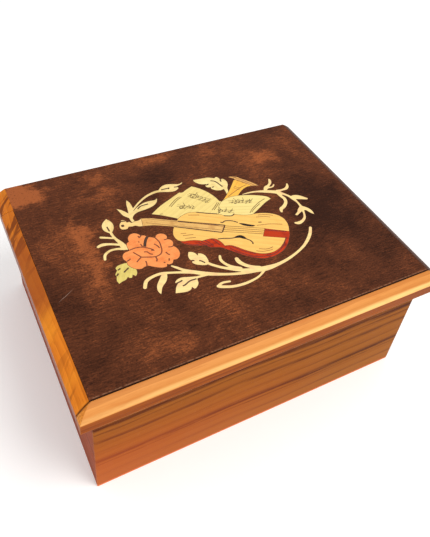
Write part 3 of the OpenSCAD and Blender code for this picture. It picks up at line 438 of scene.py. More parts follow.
def timber(name, body, spacing=3.0, wander=2.0, seed=0.0, turn=(0, 0, 0), contrast=1.0,
           pores=0.5, gloss=0.38, coat=0.05, warm=0.06, shine=0.08, extra=None):
    """A varnished wood whose grain runs along X before it is turned."""
    material, tree, shader, here = new_material(name)
    turned = mapping(tree, here, turn=turn)
    grain = use_group(tree, "Board grain", Vector=turned, Ring_Spacing=spacing, Wander=wander,
                      Seed=seed)
    tone = mixture(tree, (grain["Rings"], 0.38), (grain["Fibre"], 0.42), (grain["Figure"], 0.34))
    dark = shade(body, 1 - 0.34 * contrast, warm)
    pale = shade(body, 1 + 0.24 * contrast, -warm / 2)
    colour = ramp(tree, tone, (0.28, dark), (0.54, body), (0.82, pale))
    pore_mask = times(tree, grain["Pores"], pores)
    colour = blend(tree, pore_mask, colour, shade(body, 0.42, warm))
    if extra:
        colour = extra(tree, here, colour)
    edges = use_group(tree, "Edge wear", Vector=here, Amount=0.6)
    # Paler along sharp edges: partly rubbed wear, partly a painted highlight.
    colour = blend(tree, edges["Wear"], colour, shade(body, 1.28, 0.04))
    polish = use_group(tree, "Hand polish", Vector=here, Gloss=gloss)
    colour = stain(tree, colour, polish["Dust"], 0.04, paint(214, 190, 150))
    height = minus(tree, mixture(tree, (grain["Fibre"], 0.5), (polish["Ripple"], 0.5)), pore_mask)
    finish_surface(tree, shader, colour, polish["Roughness"], height, 0.00008, 0.5, edges["Normal"])
    shader.inputs["Specular IOR Level"].default_value = shine
    shader.inputs["Coat Weight"].default_value = coat
    shader.inputs["Coat Roughness"].default_value = 0.22
    return material


# Each cloud: x, y, width and depth in panel millimetres, and how much lighter it is
BURL_PATCHES = [
    (3, 104, 14, 10, 0.5), (21, 63, 5, 27, 0.19), (32, 92, 16, 4, 0.13), (36, 104, 6, 6, 0.14),
    (68, 107, 10, 5, 0.14), (97, 104, 14, 7, 0.07), (112, 87, 10, 13, 0.11), (131, 98, 11, 9, 0.05),
    (72, 17, 7, 11, 0.05), (36, 9, 8, 6, 0.05), (128, 76, 9, 6, 0.05), (58, 10, 9, 7, 0.04),
    (5, 34, 9, 24, -0.09), (11, 92, 10, 7, -0.02), (10, 66, 12, 16, 0.1), (62, 94, 12, 9, -0.1),
    (104, 26, 17, 20, -0.08), (88, 7, 18, 8, -0.06), (124, 50, 22, 26, -0.24),
    (30, 81, 9, 5, -0.08), (136, 16, 16, 18, -0.08), (120, 90, 9, 5, 0.14), (10, 10, 14, 12, -0.05),
]


def burl_patches(tree, position):
    """Lighter and darker clouds at chosen places on the panel, in panel millimetres."""
    drift = vector_maths(tree, "SUBTRACT", noise(tree, position, 0.16, 4.0, 0.6, output="Color"),
                         (0.5, 0.5, 0.5))
    position = vector_maths(tree, "ADD", position, vector_maths(tree, "SCALE", drift, 17.0))
    total = None
    for x, y, width, depth, strength in BURL_PATCHES:
        away = vector_maths(tree, "SUBTRACT", position, (x, y, 0.0))
        away = vector_maths(tree, "MULTIPLY", away, (1 / width, 1 / depth, 0.0))
        reach = place(tree, "VectorMath", {0: away}, operation="LENGTH").outputs["Value"]
        cloud = between(tree, reach, 1.15, 0.35, 0.0, strength)
        total = cloud if total is None else plus(tree, total, cloud)
    return total


def burl_panel_finish(woods):
    """The burl panel, with a painted highlight along its front edge and one small scratch."""
    material, tree, shader, here = new_material("panel_burl_polished")
    figure = use_group(tree, "Burl figure", Vector=here, Cloud_Size=17.0, Curl=16.0, Seed=3.0)
    corner = (-PANEL_LOW.x / MM, -PANEL_LOW.y / MM, 0.0)
    position = mapping(tree, here, (1000, 1000, 0), shift=corner)
    ripple = streaks(tree, here, (260, 2100, 0), 3.0, 0.6, 0.8)
    tone = mixture(tree, (figure["Clouds"], 0.5), (figure["Fibre"], 0.26), (figure["Speckle"], 0.5),
                   (ripple, 0.62))
    tone = plus(tree, tone, burl_patches(tree, position))
    tone = minus(tree, tone, 0.25)
    colour = ramp(
        tree, tone, (0.46, tuple(woods.burl_dark)), (0.74, tuple(woods.burl_mid)),
        (1.0, tuple(woods.burl_light)),
    )
    pores = between(tree, streaks(tree, here, (900, 2300, 0), 2.0), 0.6, 0.7)
    colour = stain(tree, colour, pores, 0.7, paint(38, 18, 12))
    colour = stain(tree, colour, figure["Eyes"], 0.22, paint(34, 16, 9))
    split = place(tree, "SeparateXYZ", {"Vector": position}).outputs
    # A pale broken line just behind the front edge: a painted highlight on the lacquer's rounded
    # edge.
    rim = times(tree, between(tree, split["Y"], 1.0, 0.75), between(tree, split["Y"], 0.4, 0.6))
    broken = between(tree, noise(tree, here, 900.0, 2.0), 0.3, 0.62)
    rim = times(tree, times(tree, rim, broken), 0.42)
    colour = blend(tree, rim, colour, paint(176, 130, 100))
    joint = times(tree, between(tree, split["Y"], 0.5, 0.2), 0.85)
    colour = blend(tree, joint, colour, paint(26, 12, 8))
    scratch_x, scratch_y, slope = 6.0, 40.4, 0.62
    waver = noise(tree, here, 300.0)
    across = mixture(tree, (split["X"], -slope), (split["Y"], 1.0), (waver, 0.7))
    thin = between(tree, apart(tree, across, scratch_y), 0.16, 0.03)
    run = between(tree, apart(tree, split["X"], scratch_x), 4.2, 0.4)
    scratch = times(tree, times(tree, thin, run), 0.42)
    colour = blend(tree, scratch, colour, paint(206, 176, 160))
    polish = use_group(tree, "Hand polish", Vector=here, Gloss=0.5, Unevenness=0.16)
    colour = stain(tree, colour, polish["Dust"], 0.02, paint(180, 150, 130))
    height = mixture(tree, (figure["Fibre"], 0.7), (figure["Speckle"], 1.0), (pores, -0.8))
    finish_surface(tree, shader, colour, polish["Roughness"], height, 0.00006, 0.45)
    shader.inputs["Specular IOR Level"].default_value = 0.06
    return material


def inlay_wood(name, body, angle, seed, shading, scorch):
    """A thin marquetry wood, sand-shaded in soft patches, with its grain at an angle."""
    material, tree, shader, here = new_material(name)
    turned = mapping(tree, here, turn=(0, 0, -angle))
    grain = use_group(tree, "Board grain", Vector=turned, Ring_Spacing=1.1, Wander=0.6, Seed=seed)
    tone = mixture(tree, (grain["Fibre"], 0.62), (grain["Rings"], 0.16))
    dark, pale = shade(body, 0.844, 0.03), shade(body, 1.072)
    colour = ramp(tree, tone, (0.24, dark), (0.42, body), (0.62, pale))
    patches = between(tree, noise(tree, here, 230.0, 3.0, 0.6), 0.44, 0.7)
    colour = stain(tree, colour, patches, shading, paint(*scorch))
    polish = use_group(tree, "Hand polish", Vector=here, Gloss=0.46)
    colour = stain(tree, colour, grain["Pores"], 0.16, shade(body, 0.5, 0.05))
    finish_surface(tree, shader, colour, polish["Roughness"], grain["Fibre"], 0.00005, 0.4)
    shader.inputs["Specular IOR Level"].default_value = 0.15
    return material


def metal(name, bright, dull, age):
    """Old brass or steel."""
    material, tree, shader, here = new_material(name)
    patina = use_group(tree, "Metal patina", Vector=here, Age=age)
    edges = use_group(tree, "Edge wear", Vector=here, Radius=0.0002, Amount=1.0)
    colour = ramp(tree, patina["Brushing"], (0.2, shade(bright, 0.8)), (0.8, bright))
    colour = blend(tree, patina["Tarnish"], colour, dull)
    # Brighter along sharp edges: partly rubbed wear, partly a painted highlight.
    colour = blend(tree, edges["Wear"], colour, shade(bright, 1.15))
    finish_surface(tree, shader, colour, patina["Roughness"], patina["Brushing"], 0.00003, 0.3,
                   edges["Normal"])
    shader.inputs["Metallic"].default_value = 1.0
    return material


def felt(name, body):
    """Glued cloth lining."""
    material, tree, shader, here = new_material(name)
    nap = use_group(tree, "Felt nap", Vector=here)
    deep, pale = shade(body, 0.55), shade(body, 1.5)
    colour = ramp(tree, nap["Fibres"], (0.3, deep), (0.5, body), (0.72, pale))
    worn = times(tree, between(tree, nap["Rubbed"], 0.5, 0.75), 0.3)
    colour = blend(tree, worn, colour, shade(body, 1.7))
    roughness = between(tree, nap["Rubbed"], 0.2, 0.8, 0.95, 0.82)
    finish_surface(tree, shader, colour, roughness, nap["Fibres"], 0.0002, 0.6)
    shader.inputs["Sheen Weight"].default_value = 0.35
    shader.inputs["Sheen Roughness"].default_value = 0.5
    return material


def dark_line(name, body, paler):
    """Scorched wood and glue in a fine line."""
    material, tree, shader, here = new_material(name)
    speck = noise(tree, here, 1400.0, 3.0, 0.6)
    colour = ramp(tree, speck, (0.35, body), (0.7, paler))
    roughness = between(tree, speck, 0.2, 0.8, 0.5, 0.75)
    finish_surface(tree, shader, colour, roughness, speck, 0.00002, 0.3)
    return material


def new_piece(name, mesh):
    """An object at the origin with its place in its mesh."""
    piece = bpy.data.objects.new(name, mesh)
    bpy.context.scene.collection.objects.link(piece)
    return piece


def mesh_of(name, shape):
    """Turns a worked shape into a mesh, and lets the shape go."""
    mesh = bpy.data.meshes.new(name)
    shape.to_mesh(mesh)
    shape.free()
    return mesh


def wear(names, material):
    """Puts a finish on CAD pieces."""
    for name in names:
        for index in range(len(NODES[name].material_slots)):
            NODES[name].material_slots[index].material = material


# ---------------------------------------------------------------- fine lines


def geometry_tree(name, inputs):
    """An empty geometry node tree with named inputs."""
    tree = bpy.data.node_groups.new(name, "GeometryNodeTree")
    kinds = [("Geometry", "Geometry", None)] + inputs
    for label, kind, default in kinds:
        made = tree.interface.new_socket(label, in_out="INPUT", socket_type="NodeSocket" + kind)
        if default is not None:
            made.default_value = default
    tree.interface.new_socket("Geometry", in_out="OUTPUT", socket_type="NodeSocketGeometry")
    return tree, tree.nodes.new("NodeGroupInput").outputs, tree.nodes.new("NodeGroupOutput").inputs


def step(tree, kind, sockets=None, family="GeometryNode", **fields):
    """Adds a geometry node."""
    return place(tree, kind, sockets, family, **fields)


def draw_along(tree, path, profile):
    """A small profile swept along upright curves, with closed ends."""
    path = step(tree, "SetCurveNormal", {"Curve": path}, mode="Z_UP").outputs["Curve"]
    sockets = {"Curve": path, "Profile Curve": profile, "Fill Caps": True}
    return step(tree, "CurveToMesh", sockets).outputs["Mesh"]


def end_tree(tree, drawn, given, result):
    """Every tree ends as real geometry in one material."""
    drawn = step(tree, "RealizeInstances", {"Geometry": drawn}).outputs["Geometry"]
    sockets = {"Geometry": drawn, "Material": given["Material"]}
    give(tree, result, Geometry=step(tree, "SetMaterial", sockets).outputs["Geometry"])


def build_drawn_line():
    """Edges become smooth tapering lines, like the path of a fret saw."""
    tree, given, result = geometry_tree(
        "Drawn line",
        [("Width", "Float", 0.0003), ("Height", "Float", 0.00004), ("Smooth", "Bool", True),
         ("Taper", "Float", 0.6), ("Material", "Material", None)],
    )
    path = step(tree, "MeshToCurve", {"Mesh": given["Geometry"]}).outputs["Curve"]
    smooth = step(tree, "CurveSplineType", {"Curve": path}, spline_type="CATMULL_ROM").outputs[0]
    smooth = step(tree, "SetSplineResolution", {"Geometry": smooth, "Resolution": 5}).outputs[0]
    sockets = {"Switch": given["Smooth"], "False": path, "True": smooth}
    path = step(tree, "Switch", sockets, input_type="GEOMETRY").outputs["Output"]
    along = step(tree, "SplineParameter").outputs["Factor"]
    middle = maths(tree, "POWER", times(tree, minus(tree, along, 0.42), 1.7), 2.0)
    left = minus(tree, 1.0, times(tree, middle, given["Taper"]))
    path = step(tree, "SetCurveRadius", {"Curve": path, "Radius": left}).outputs["Curve"]
    sockets = {"Width": given["Width"], "Height": given["Height"]}
    profile = step(tree, "CurvePrimitiveQuadrilateral", sockets, mode="RECTANGLE").outputs["Curve"]
    end_tree(tree, draw_along(tree, path, profile), given, result)


def build_string_set():
    """Evenly spaced parallel strings."""
    tree, given, result = geometry_tree(
        "String set",
        [("Count", "Int", 5), ("First", "Vector", None), ("Last", "Vector", None),
         ("Run", "Vector", None), ("Width", "Float", 0.0002), ("Material", "Material", None)],
    )
    sockets = {"Count": given["Count"], "Start Location": given["First"], "Offset": given["Last"]}
    row = step(tree, "MeshLine", sockets, mode="END_POINTS", count_mode="TOTAL").outputs["Mesh"]
    one = step(tree, "CurvePrimitiveLine", {"End": given["Run"]}).outputs["Curve"]
    lines = step(tree, "InstanceOnPoints", {"Points": row, "Instance": one}).outputs["Instances"]
    lines = step(tree, "RealizeInstances", {"Geometry": lines}).outputs["Geometry"]
    sockets = {"Resolution": 6, "Radius": given["Width"]}
    profile = step(tree, "CurvePrimitiveCircle", sockets, mode="RADIUS").outputs["Curve"]
    end_tree(tree, draw_along(tree, lines, profile), given, result)


def build_note_marks():
    """Made-up music marks: an oval head with a stem at every point, each a little different."""
    tree, given, result = geometry_tree(
        "Note marks",
        [("Head", "Float", 0.0005), ("Stem", "Float", 0.0018), ("Height", "Float", 0.00004),
         ("Seed", "Int", 4), ("Material", "Material", None)],
    )
    sockets = {"Vertices": 8, "Radius": given["Head"], "Depth": given["Height"]}
    head = step(tree, "MeshCylinder", sockets).outputs["Mesh"]
    head = step(tree, "Transform", {"Geometry": head, "Scale": (1.0, 0.7, 1.0)}).outputs["Geometry"]
    sockets = {"X": 0.22 * MM, "Y": given["Stem"], "Z": given["Height"]}
    size = place(tree, "CombineXYZ", sockets).outputs[0]
    stem = step(tree, "MeshCube", {"Size": size}).outputs["Mesh"]
    sockets = {"X": times(tree, given["Head"], 0.9), "Y": times(tree, given["Stem"], 0.5)}
    shift = place(tree, "CombineXYZ", sockets).outputs[0]
    stem = step(tree, "Transform", {"Geometry": stem, "Translation": shift}).outputs["Geometry"]
    join = tree.nodes.new("GeometryNodeJoinGeometry")
    tree.links.new(head, join.inputs[0])
    tree.links.new(stem, join.inputs[0])
    sockets = {"Seed": given["Seed"], 0: (0.0, 0.0, -1.1), 1: (0.0, 0.0, 0.5)}
    turn = step(tree, "RandomValue", sockets, "FunctionNode", data_type="FLOAT_VECTOR")
    sockets = {"Seed": given["Seed"], 2: 0.7, 3: 1.25}
    size = step(tree, "RandomValue", sockets, "FunctionNode", data_type="FLOAT")
    sockets = {
        "Points": given["Geometry"],
        "Instance": join.outputs[0],
        "Rotation": turn.outputs[0],
        "Scale": size.outputs[1],
    }
    end_tree(tree, step(tree, "InstanceOnPoints", sockets).outputs["Instances"], given, result)


def grow(name, points, edges, tree_name, **inputs):
    """Runs a geometry tree on points and edges, and keeps the result as a plain piece."""
    seedling = bpy.data.meshes.new(name + "_path")
    seedling.from_pydata(points, edges, [])
    piece = new_piece(name + "_path", seedling)
    modifier = piece.modifiers.new("Grow", "NODES")
    modifier.node_group = bpy.data.node_groups[tree_name]
    sockets = {
        item.name: item.identifier
        for item in modifier.node_group.interface.items_tree
        if item.item_type == "SOCKET" and item.in_out == "INPUT"
    }
    for label, value in inputs.items():
        modifier[sockets[label]] = value
    bpy.context.view_layer.update()
    finished = piece.evaluated_get(bpy.context.evaluated_depsgraph_get())
    grown = bpy.data.meshes.new_from_object(finished)
    bpy.data.objects.remove(piece)
    bpy.data.meshes.remove(seedling)
    if not grown.polygons:
        raise RuntimeError(f"{name} came out empty")
    tidy = bmesh.new()
    tidy.from_mesh(grown)
    bmesh.ops.remove_doubles(tidy, verts=tidy.verts, dist=1e-7)
    bmesh.ops.recalc_face_normals(tidy, faces=tidy.faces)
    tidy.to_mesh(grown)
    tidy.free()
    grown.name = name
    return new_piece(name, grown)


def polylines(strokes):
    """Points and edges of strokes given in panel millimetres."""
    points, edges = [], []
    for stroke in strokes:
        first = len(points)
        points += [on_panel(x, y) for x, y in stroke]
        edges += [(index, index + 1) for index in range(first, len(points) - 1)]
    return points, edges


def circle_stroke(x, y, radius):
    """A closed round stroke of eight points."""
    turns = [index * math.tau / 8 for index in range(9)]
    return [(x + radius * math.cos(turn), y + radius * math.sin(turn)) for turn in turns]


# Strokes of the picture, each a run of points in panel millimetres
ROSE_CUTS = [
    [(35.6, 56.4), (38, 56.7), (40.6, 56.2), (43, 54.5), (44.4, 53)],
    [(36.4, 54.8), (37.4, 53), (38.2, 51.3), (37, 50.3), (35.8, 49.4)],
    [(38.2, 51.3), (40, 50.5), (42.4, 49.6), (44, 49.3), (46, 49.8), (47.2, 51.3), (47.8, 53.4),
     (48.2, 56.2), (47.6, 59)],
    [(40.4, 53.4), (41.6, 52.9), (42.2, 51.6), (43.2, 50.8)],
    [(43.4, 53.2), (44.6, 52.6)],
    [(45.8, 56), (46.6, 54.6), (47, 53)],
    [(43.6, 49.2), (43.6, 47.8), (43, 46.8)],
    [(39.2, 48.6), (39, 47.2), (38.6, 46)],
    [(48.3, 50), (48.8, 48.6), (49.4, 48.2)],
    [(45.4, 45.4), (45.8, 44.8)],
    [(48.2, 46.4), (47.6, 45.2)],
    [(50.4, 52.2), (51.6, 51.9), (52.6, 52.1)],
    [(50.4, 56.6), (51.6, 56.5)],
    [(32.4, 51.2), (33.4, 51.5), (34.2, 52)],
    [(40.5, 59.6), (40.8, 59)],
    [(41.6, 62.6), (41.8, 61.6), (42.8, 62.4)],
    [(40.8, 58), (41, 56.4)],
]
ROSE_GAP = [[(41.8, 56), (42.8, 58), (43.8, 59.6), (45, 60.8)]]
LEAF_CUTS = [
    [(31.8, 47.9), (30.4, 47), (29.3, 46.3)],
    [(27.6, 48.2), (28.8, 48.8)],
    [(26.2, 45.6), (27.2, 46.6)],
    [(53.4, 32.6), (50.6, 32.6), (48.2, 31.6), (47, 31.4)],
    [(45.4, 33.5), (46.8, 33.7), (48.1, 34)],
    [(60.2, 38.8), (59.4, 40), (58.6, 40.8)],
    [(55.9, 42), (56.8, 41.4)],
    [(32, 69.4), (31.9, 72.4)],
    [(47.6, 77.8), (49.6, 79), (53, 79.2)],
    [(62, 85.8), (65.2, 85.6)],
    [(65.2, 85), (65.8, 85.9)],
    [(68, 85.4), (69.6, 85)],
    [(85.4, 83.4), (87, 82.4), (87.8, 80.6), (88.6, 77.6)],
    [(89.7, 81), (89.9, 82.4)],
    [(82.2, 81.1), (83.6, 81.7)],
    [(83.9, 79), (85, 79)],
    circle_stroke(38.1, 70.5, 0.4),
    [(38.4, 73.2), (40.2, 72.8)],
]
VIOLIN_CUTS = [
    [(57.6, 62), (74.4, 51.4)],
    [(60.2, 64.4), (72.2, 57.9), (77.6, 54.8)],
    [(74.6, 51.4), (77.6, 54.8)],
    [(76.8, 57.3), (77.4, 56.6), (79, 57.1), (81.6, 56.1), (83.6, 54.2)],
    [(71, 48.6), (73.4, 48), (76, 47), (78, 46.6)],
    [(82, 44.2), (83.2, 42.6), (83.4, 41.2), (83, 40.5)],
    [(91.8, 51), (93.2, 50.6)],
    [(70, 66.6), (74, 64.3), (78, 62.2)],
    [(80, 60.2), (83, 58.9), (84.8, 59.6)],
]
VIOLIN_SHADES = [
    [(66, 66.2), (70.4, 64.6)],
    [(58.6, 55.8), (62.8, 54.8)],
    [(58.8, 54), (63, 52.9)],
    [(58.2, 57.2), (60.4, 56.6)],
    [(82.4, 36.6), (85, 35.2), (89, 34.6)],
    [(84, 37.2), (87, 35.8), (90, 35.9)],
    [(94, 55), (97.4, 54), (100, 52.4)],
    [(92.6, 54.2), (96, 53.2), (98.4, 51.8)],
    [(62.4, 63.3), (75.2, 55.6)],
    [(90.2, 49.6), (96.4, 48), (100.8, 46)],
]
HORN_LINES = [
    [(93, 75.2), (93.8, 74), (94.9, 73)],
    [(93.8, 76), (94.6, 74.8), (95.8, 73.8)],
    [(87.6, 70.6), (91.4, 72.2), (96.4, 74.2), (99.6, 74.9)],
    [(96.4, 80), (98.2, 77.6), (100.4, 75)],
    [(96.2, 82), (98.4, 79.6), (100.8, 76.4), (102.8, 73.4)],
    [(95.8, 82.6), (97, 82), (97.6, 80.8)],
]
RIB_STREAKS = [
    [(62.6, 49.8), (64, 48.2), (65.4, 46.8)],
    [(64, 50), (65.4, 48.2), (66.6, 46.4)],
    [(65.8, 50), (66.8, 48), (67.8, 46)],
    [(68.6, 49.8), (69.6, 47.4), (70.2, 45.2)],
    [(57.8, 51.4), (60, 49.6), (62.6, 48.6)],
    [(73.2, 42), (76, 38), (80, 34.4), (84.6, 32.6), (89.6, 32.6), (94.2, 34.8), (98.2, 38.6)],
    [(74.6, 42.4), (77.6, 38.6), (81.4, 35.2)],
    [(92, 45.9), (96, 43.6), (100, 41.4)],
]
STAFF_LINES = [
    [(71.4, 78.4), (79, 70.8)],
    [(72.4, 79.1), (79.8, 71.7)],
    [(71, 77.4), (78, 70.2)],
    [(63.8, 73.2), (70.4, 68.8)],
    [(64.6, 74), (71, 69.6)],
    [(86.4, 68), (96.2, 63.8)],
    [(86, 67), (95.6, 62.9)],
    [(79.2, 64.8), (85.8, 61.2)],
    [(79, 63.8), (85.2, 60.4)],
]
PAGE_LINES = [
    [(60.8, 74.4), (65, 77.4), (67.6, 78.4)],
    [(61.4, 73.8), (65.6, 76.8), (68.2, 77.9)],
    [(55, 71.3), (56.4, 70.9)],
    [(82, 68.6), (79.8, 66.6), (77.8, 65)],
    [(81.4, 69), (79.2, 67), (77, 65.4)],
    [(91.5, 57.6), (94, 59.6), (98, 61.8), (101, 62.9), (102.4, 63.2)],
    [(92.6, 57.8), (95, 59.4), (98.6, 61.2)],
    circle_stroke(73.4, 76.6, 1.4),
    circle_stroke(65.4, 71.8, 0.8),
]
# Where the music marks stand, in panel millimetres
NOTE_SPOTS = [
    (64.8, 71.4), (66.2, 70.6), (66.8, 72.2), (68, 71.4), (68.6, 70.2), (69.6, 69.4), (70.4, 70.2),
    (72.8, 75.9), (74.2, 77.2), (75, 75.4), (74.8, 73.4), (75.8, 72.2), (76.4, 74), (77.2, 72.6),
    (77.4, 70.8), (78.4, 71.8), (76.6, 70.9), (79.2, 62.8), (80, 64), (80.8, 63.2), (81.6, 62.4),
    (82.4, 63), (83.2, 61.4), (84.4, 61.8), (87.4, 66.4), (88.4, 65.4), (89.4, 66.6), (90.2, 65.4),
    (91, 66), (91.8, 64.8), (92.4, 65.8), (93, 63.8), (94, 64.8), (94.8, 63.6), (95.6, 64.6),
]


def outline_strokes(name):
    """The outline of an inlaid piece's top face, as points and edges."""
    shape = bmesh.new()
    shape.from_mesh(NODES[name].data)
    bmesh.ops.remove_doubles(shape, verts=shape.verts, dist=1e-6)
    top = PANEL_HIGH.z - 0.02 * MM
    faces = {face for face in shape.faces if min(vert.co.z for vert in face.verts) > top}
    points, edges, known = [], [], {}
    for edge in shape.edges:
        if sum(face in faces for face in edge.link_faces) == 1:
            pair = []
            for vert in edge.verts:
                if vert.index not in known:
                    known[vert.index] = len(points)
                    points.append(vert.co.copy())
                pair.append(known[vert.index])
            edges.append(tuple(pair))
    shape.free()
    return points, edges


# ---------------------------------------------------------------- operators


class PUZZLEBOX_OT_burl_panel(bpy.types.Operator):
    """Finish the burl panel on the lid"""

    bl_idname = "puzzle_box.burl_panel"
    bl_label = "Burl Panel"

    def execute(self, context):
        wear(["top_veneer"], burl_panel_finish(context.scene.puzzle_box_woods))
        return {"FINISHED"}


class PUZZLEBOX_OT_marquetry(bpy.types.Operator):
    """Finish the pieces of the picture, each in its own wood and grain direction"""

    bl_idname = "puzzle_box.marquetry"
    bl_label = "Marquetry Woods"

    def execute(self, context):
        woods = context.scene.puzzle_box_woods
        stems, table = tuple(woods.stems), tuple(woods.table)
        red, rose = tuple(woods.red_wood), tuple(woods.rose)
        pink, olive = (232, 178, 136), (204, 174, 100)
        # piece, wood, grain angle, seed, amount and colour of the sand shading
        plan = [
            ("inlay_violin_table", table, -32, 1, 0.30, (240, 176, 84)),
            ("inlay_violin_rib", red, -30, 2, 0.75, (112, 18, 10)),
            ("inlay_tailpiece", shade(red, 0.95), -35, 3, 0.35, (130, 24, 12)),
            ("inlay_fingerboard", paint(232, 184, 108), -32, 4, 0.45, (176, 116, 58)),
            ("inlay_scroll", paint(246, 208, 134), -20, 5, 0.35, pink),
            ("inlay_sound_holes", paint(26, 16, 12), -32, 6, 0.2, (60, 36, 24)),
            ("inlay_left_page", paint(240, 214, 134), 28, 7, 0.3, (232, 208, 120)),
            ("inlay_right_page", paint(243, 220, 142), -18, 8, 0.3, (232, 208, 120)),
            ("inlay_horn", paint(250, 190, 78), 40, 9, 0.35, (226, 150, 50)),
            ("inlay_horn_rim", paint(226, 172, 98), -50, 10, 0.35, (170, 110, 60)),
            ("inlay_rose", rose, 10, 11, 0.6, (226, 116, 56)),
            ("inlay_green_leaf", paint(224, 204, 114), 60, 12, 0.4, (190, 168, 84)),
            ("inlay_left_sprig", stems, 70, 13, 0.5, olive),
            ("inlay_upper_leaves", shade(stems, 0.96), 20, 14, 0.5, olive),
            ("inlay_top_leaf", paint(250, 226, 154), -30, 15, 0.45, olive),
            ("inlay_right_spray", stems, -50, 16, 0.5, pink),
            ("inlay_lower_spray", stems, -15, 17, 0.5, pink),
        ]
        for name, body, angle, seed, shading, scorch in plan:
            wear([name], inlay_wood(name + "_wood", body, angle, seed, shading, scorch))
        missing = set(INLAYS) - {row[0] for row in plan}
        if missing:
            raise RuntimeError(f"no wood is set for {sorted(missing)}")
        return {"FINISHED"}


def corner_joint_shadow(tree, split, colour):
    """Darkens both bars along the joint at the front left corner."""
    lean = 0.24
    across = minus(tree, split["X"], PANEL_LOW.x / MM)
    back = minus(tree, split["Y"], PANEL_LOW.y / MM)
    away = apart(tree, back, times(tree, across, lean))
    line = times(tree, between(tree, away, 0.62, 0.2), between(tree, across, 0.6, -0.1))
    return stain(tree, colour, line, 0.8, paint(74, 32, 12))


def shade_bar_face(tree, split, colour, strength, stretch, here, *stops):
    """Darker streaky wood on the upright face of a bar, below its bevel; the darkness is painted
    shade.
    """
    marks = streaks(tree, here, stretch, 4.0, 0.65)
    # Below the bevel foot the colour is painted darker, as shade on the upright face.
    face = between(tree, split["Z"], BEVEL_FOOT + 0.2, BEVEL_FOOT - 0.2)
    return stain(tree, colour, face, strength, ramp(tree, marks, *stops))


def side_bar_figure(tree, here, colour):
    """Dark slanting flames across the orange side bars, strongest towards the back."""
    split = in_millimetres(tree, here)
    slanted = mapping(tree, mapping(tree, here, turn=(0, 0, 48)), (170, 36, 60))
    flames = between(tree, noise(tree, slanted, 1.0, 3.0, 0.6, 1.2), 0.51, 0.57)
    reach = plus(tree, between(tree, split["Y"], -8.0, 22.0, 0.2, 0.85),
                  between(tree, split["Y"], -44.0, -52.0, 0.0, 0.6))
    colour = blend(tree, times(tree, flames, reach, clamp=True), colour, paint(92, 40, 12))
    glow = between(tree, noise(tree, here, 55.0, 2.0), 0.46, 0.66)
    colour = stain(tree, colour, glow, 0.55, paint(234, 146, 38))
    dull = between(tree, noise(tree, here, 34.0, 2.0), 0.52, 0.7)
    colour = stain(tree, colour, dull, 0.6, paint(160, 80, 34))
    middle = times(tree, between(tree, split["Y"], -22.0, -2.0, 0.0, 0.78),
                   between(tree, split["Y"], 34.0, 16.0, 0.3, 1.0))
    colour = blend(tree, middle, colour, paint(152, 74, 28))
    colour = corner_joint_shadow(tree, split, colour)
    # The upright face below the bevel gets painted shade.
    return shade_bar_face(tree, split, colour, 0.92, (300, 26, 900), here, (0.34, paint(98, 38, 12)),
                    (0.52, paint(124, 52, 16)), (0.7, paint(150, 70, 24)))


def front_bar_bands(tree, here, colour):
    """Painted shade as a darker line by the panel and a painted highlight as a bright band low on
    the bevel of the front bar.
    """
    split = in_millimetres(tree, here)
    waver = streaks(tree, here, (14, 300, 300))
    height = plus(tree, split["Z"], minus(tree, waver, 0.5))
    # Painted highlight: a bright band low on the bevel, stronger towards the right.
    low = between(tree, apart(tree, height, BEVEL_FOOT + 0.8), 0.95, 0.2)
    shine = between(tree, split["X"], -70.0, 50.0, 0.45, 0.85)
    colour = stain(tree, colour, low, shine, paint(255, 208, 132))
    # Painted shade: darker near the top of the bevel, by the panel.
    high = between(tree, height, BAR_TOP - 1.2, BAR_TOP)
    colour = stain(tree, colour, high, 0.6, paint(188, 112, 50))
    rust = between(tree, streaks(tree, here, (34, 200, 200), 4.0, 0.65), 0.48, 0.68)
    colour = stain(tree, colour, rust, 0.4, paint(196, 110, 48))
    threads = between(tree, streaks(tree, here, (90, 2400, 2400), 3.0), 0.55, 0.72)
    colour = stain(tree, colour, threads, 0.22, paint(168, 92, 36))
    facing = tree.nodes.new("ShaderNodeNewGeometry").outputs["True Normal"]
    sideways = place(tree, "SeparateXYZ", {"Vector": facing}).outputs["X"]
    end = times(tree, between(tree, sideways, -0.15, -0.4), 0.75)
    end_grain = noise(tree, here, 1600.0, 2.0, 0.6)
    end_wood = ramp(tree, end_grain, (0.35, paint(164, 88, 24)), (0.65, paint(224, 140, 48)))
    colour = blend(tree, end, colour, end_wood)
    colour = corner_joint_shadow(tree, split, colour)
    # The upright face below the bevel gets painted shade.
    return shade_bar_face(tree, split, colour, 0.95, (26, 300, 900), here, (0.34, paint(120, 50, 2)),
                    (0.52, paint(144, 66, 4)), (0.7, paint(164, 84, 10)))


# Each band: level and width in millimetres, and strength
FRONT_BANDS = [
    (46.0, 3.4, 0.8), (42.5, 1.0, 0.55), (37.0, 2.2, 0.6), (30.0, 1.2, 0.2), (23.0, 3.0, 0.75),
    (20.5, 0.9, 0.5), (12.5, 1.8, 0.4), (5.0, 1.2, 0.2),
]
SIDE_BANDS = [
    (49.0, 2.0, 0.35), (43.0, 3.6, 0.55), (34.0, 1.6, 0.35), (27.0, 2.6, 0.5), (17.0, 1.4, 0.3),
    (9.0, 2.8, 0.5), (2.0, 1.2, 0.3),
]


def level_bands(tree, here, colour, bands, stretch, dark):
    """Dark frayed bands of late wood that run nearly level round the box."""
    split = in_millimetres(tree, here)
    sway = times(tree, streaks(tree, here, (13, 14, 14), 1.0), 9.0)
    height = plus(tree, split["Z"], sway)
    feather = streaks(tree, here, stretch, 4.0, 0.75)
    fray = times(tree, minus(tree, feather, 0.5), 3.4)
    torn = between(tree, feather, 0.26, 0.6)
    for level, width, strength in bands:
        off = plus(tree, minus(tree, height, level), fray)
        above = between(tree, off, width, 0.0)
        below = between(tree, off, -0.5 * width, 0.0)
        band = times(tree, times(tree, above, below), torn)
        band = times(tree, band, 1.6 * strength, clamp=True)
        colour = blend(tree, band, colour, dark)
    return colour


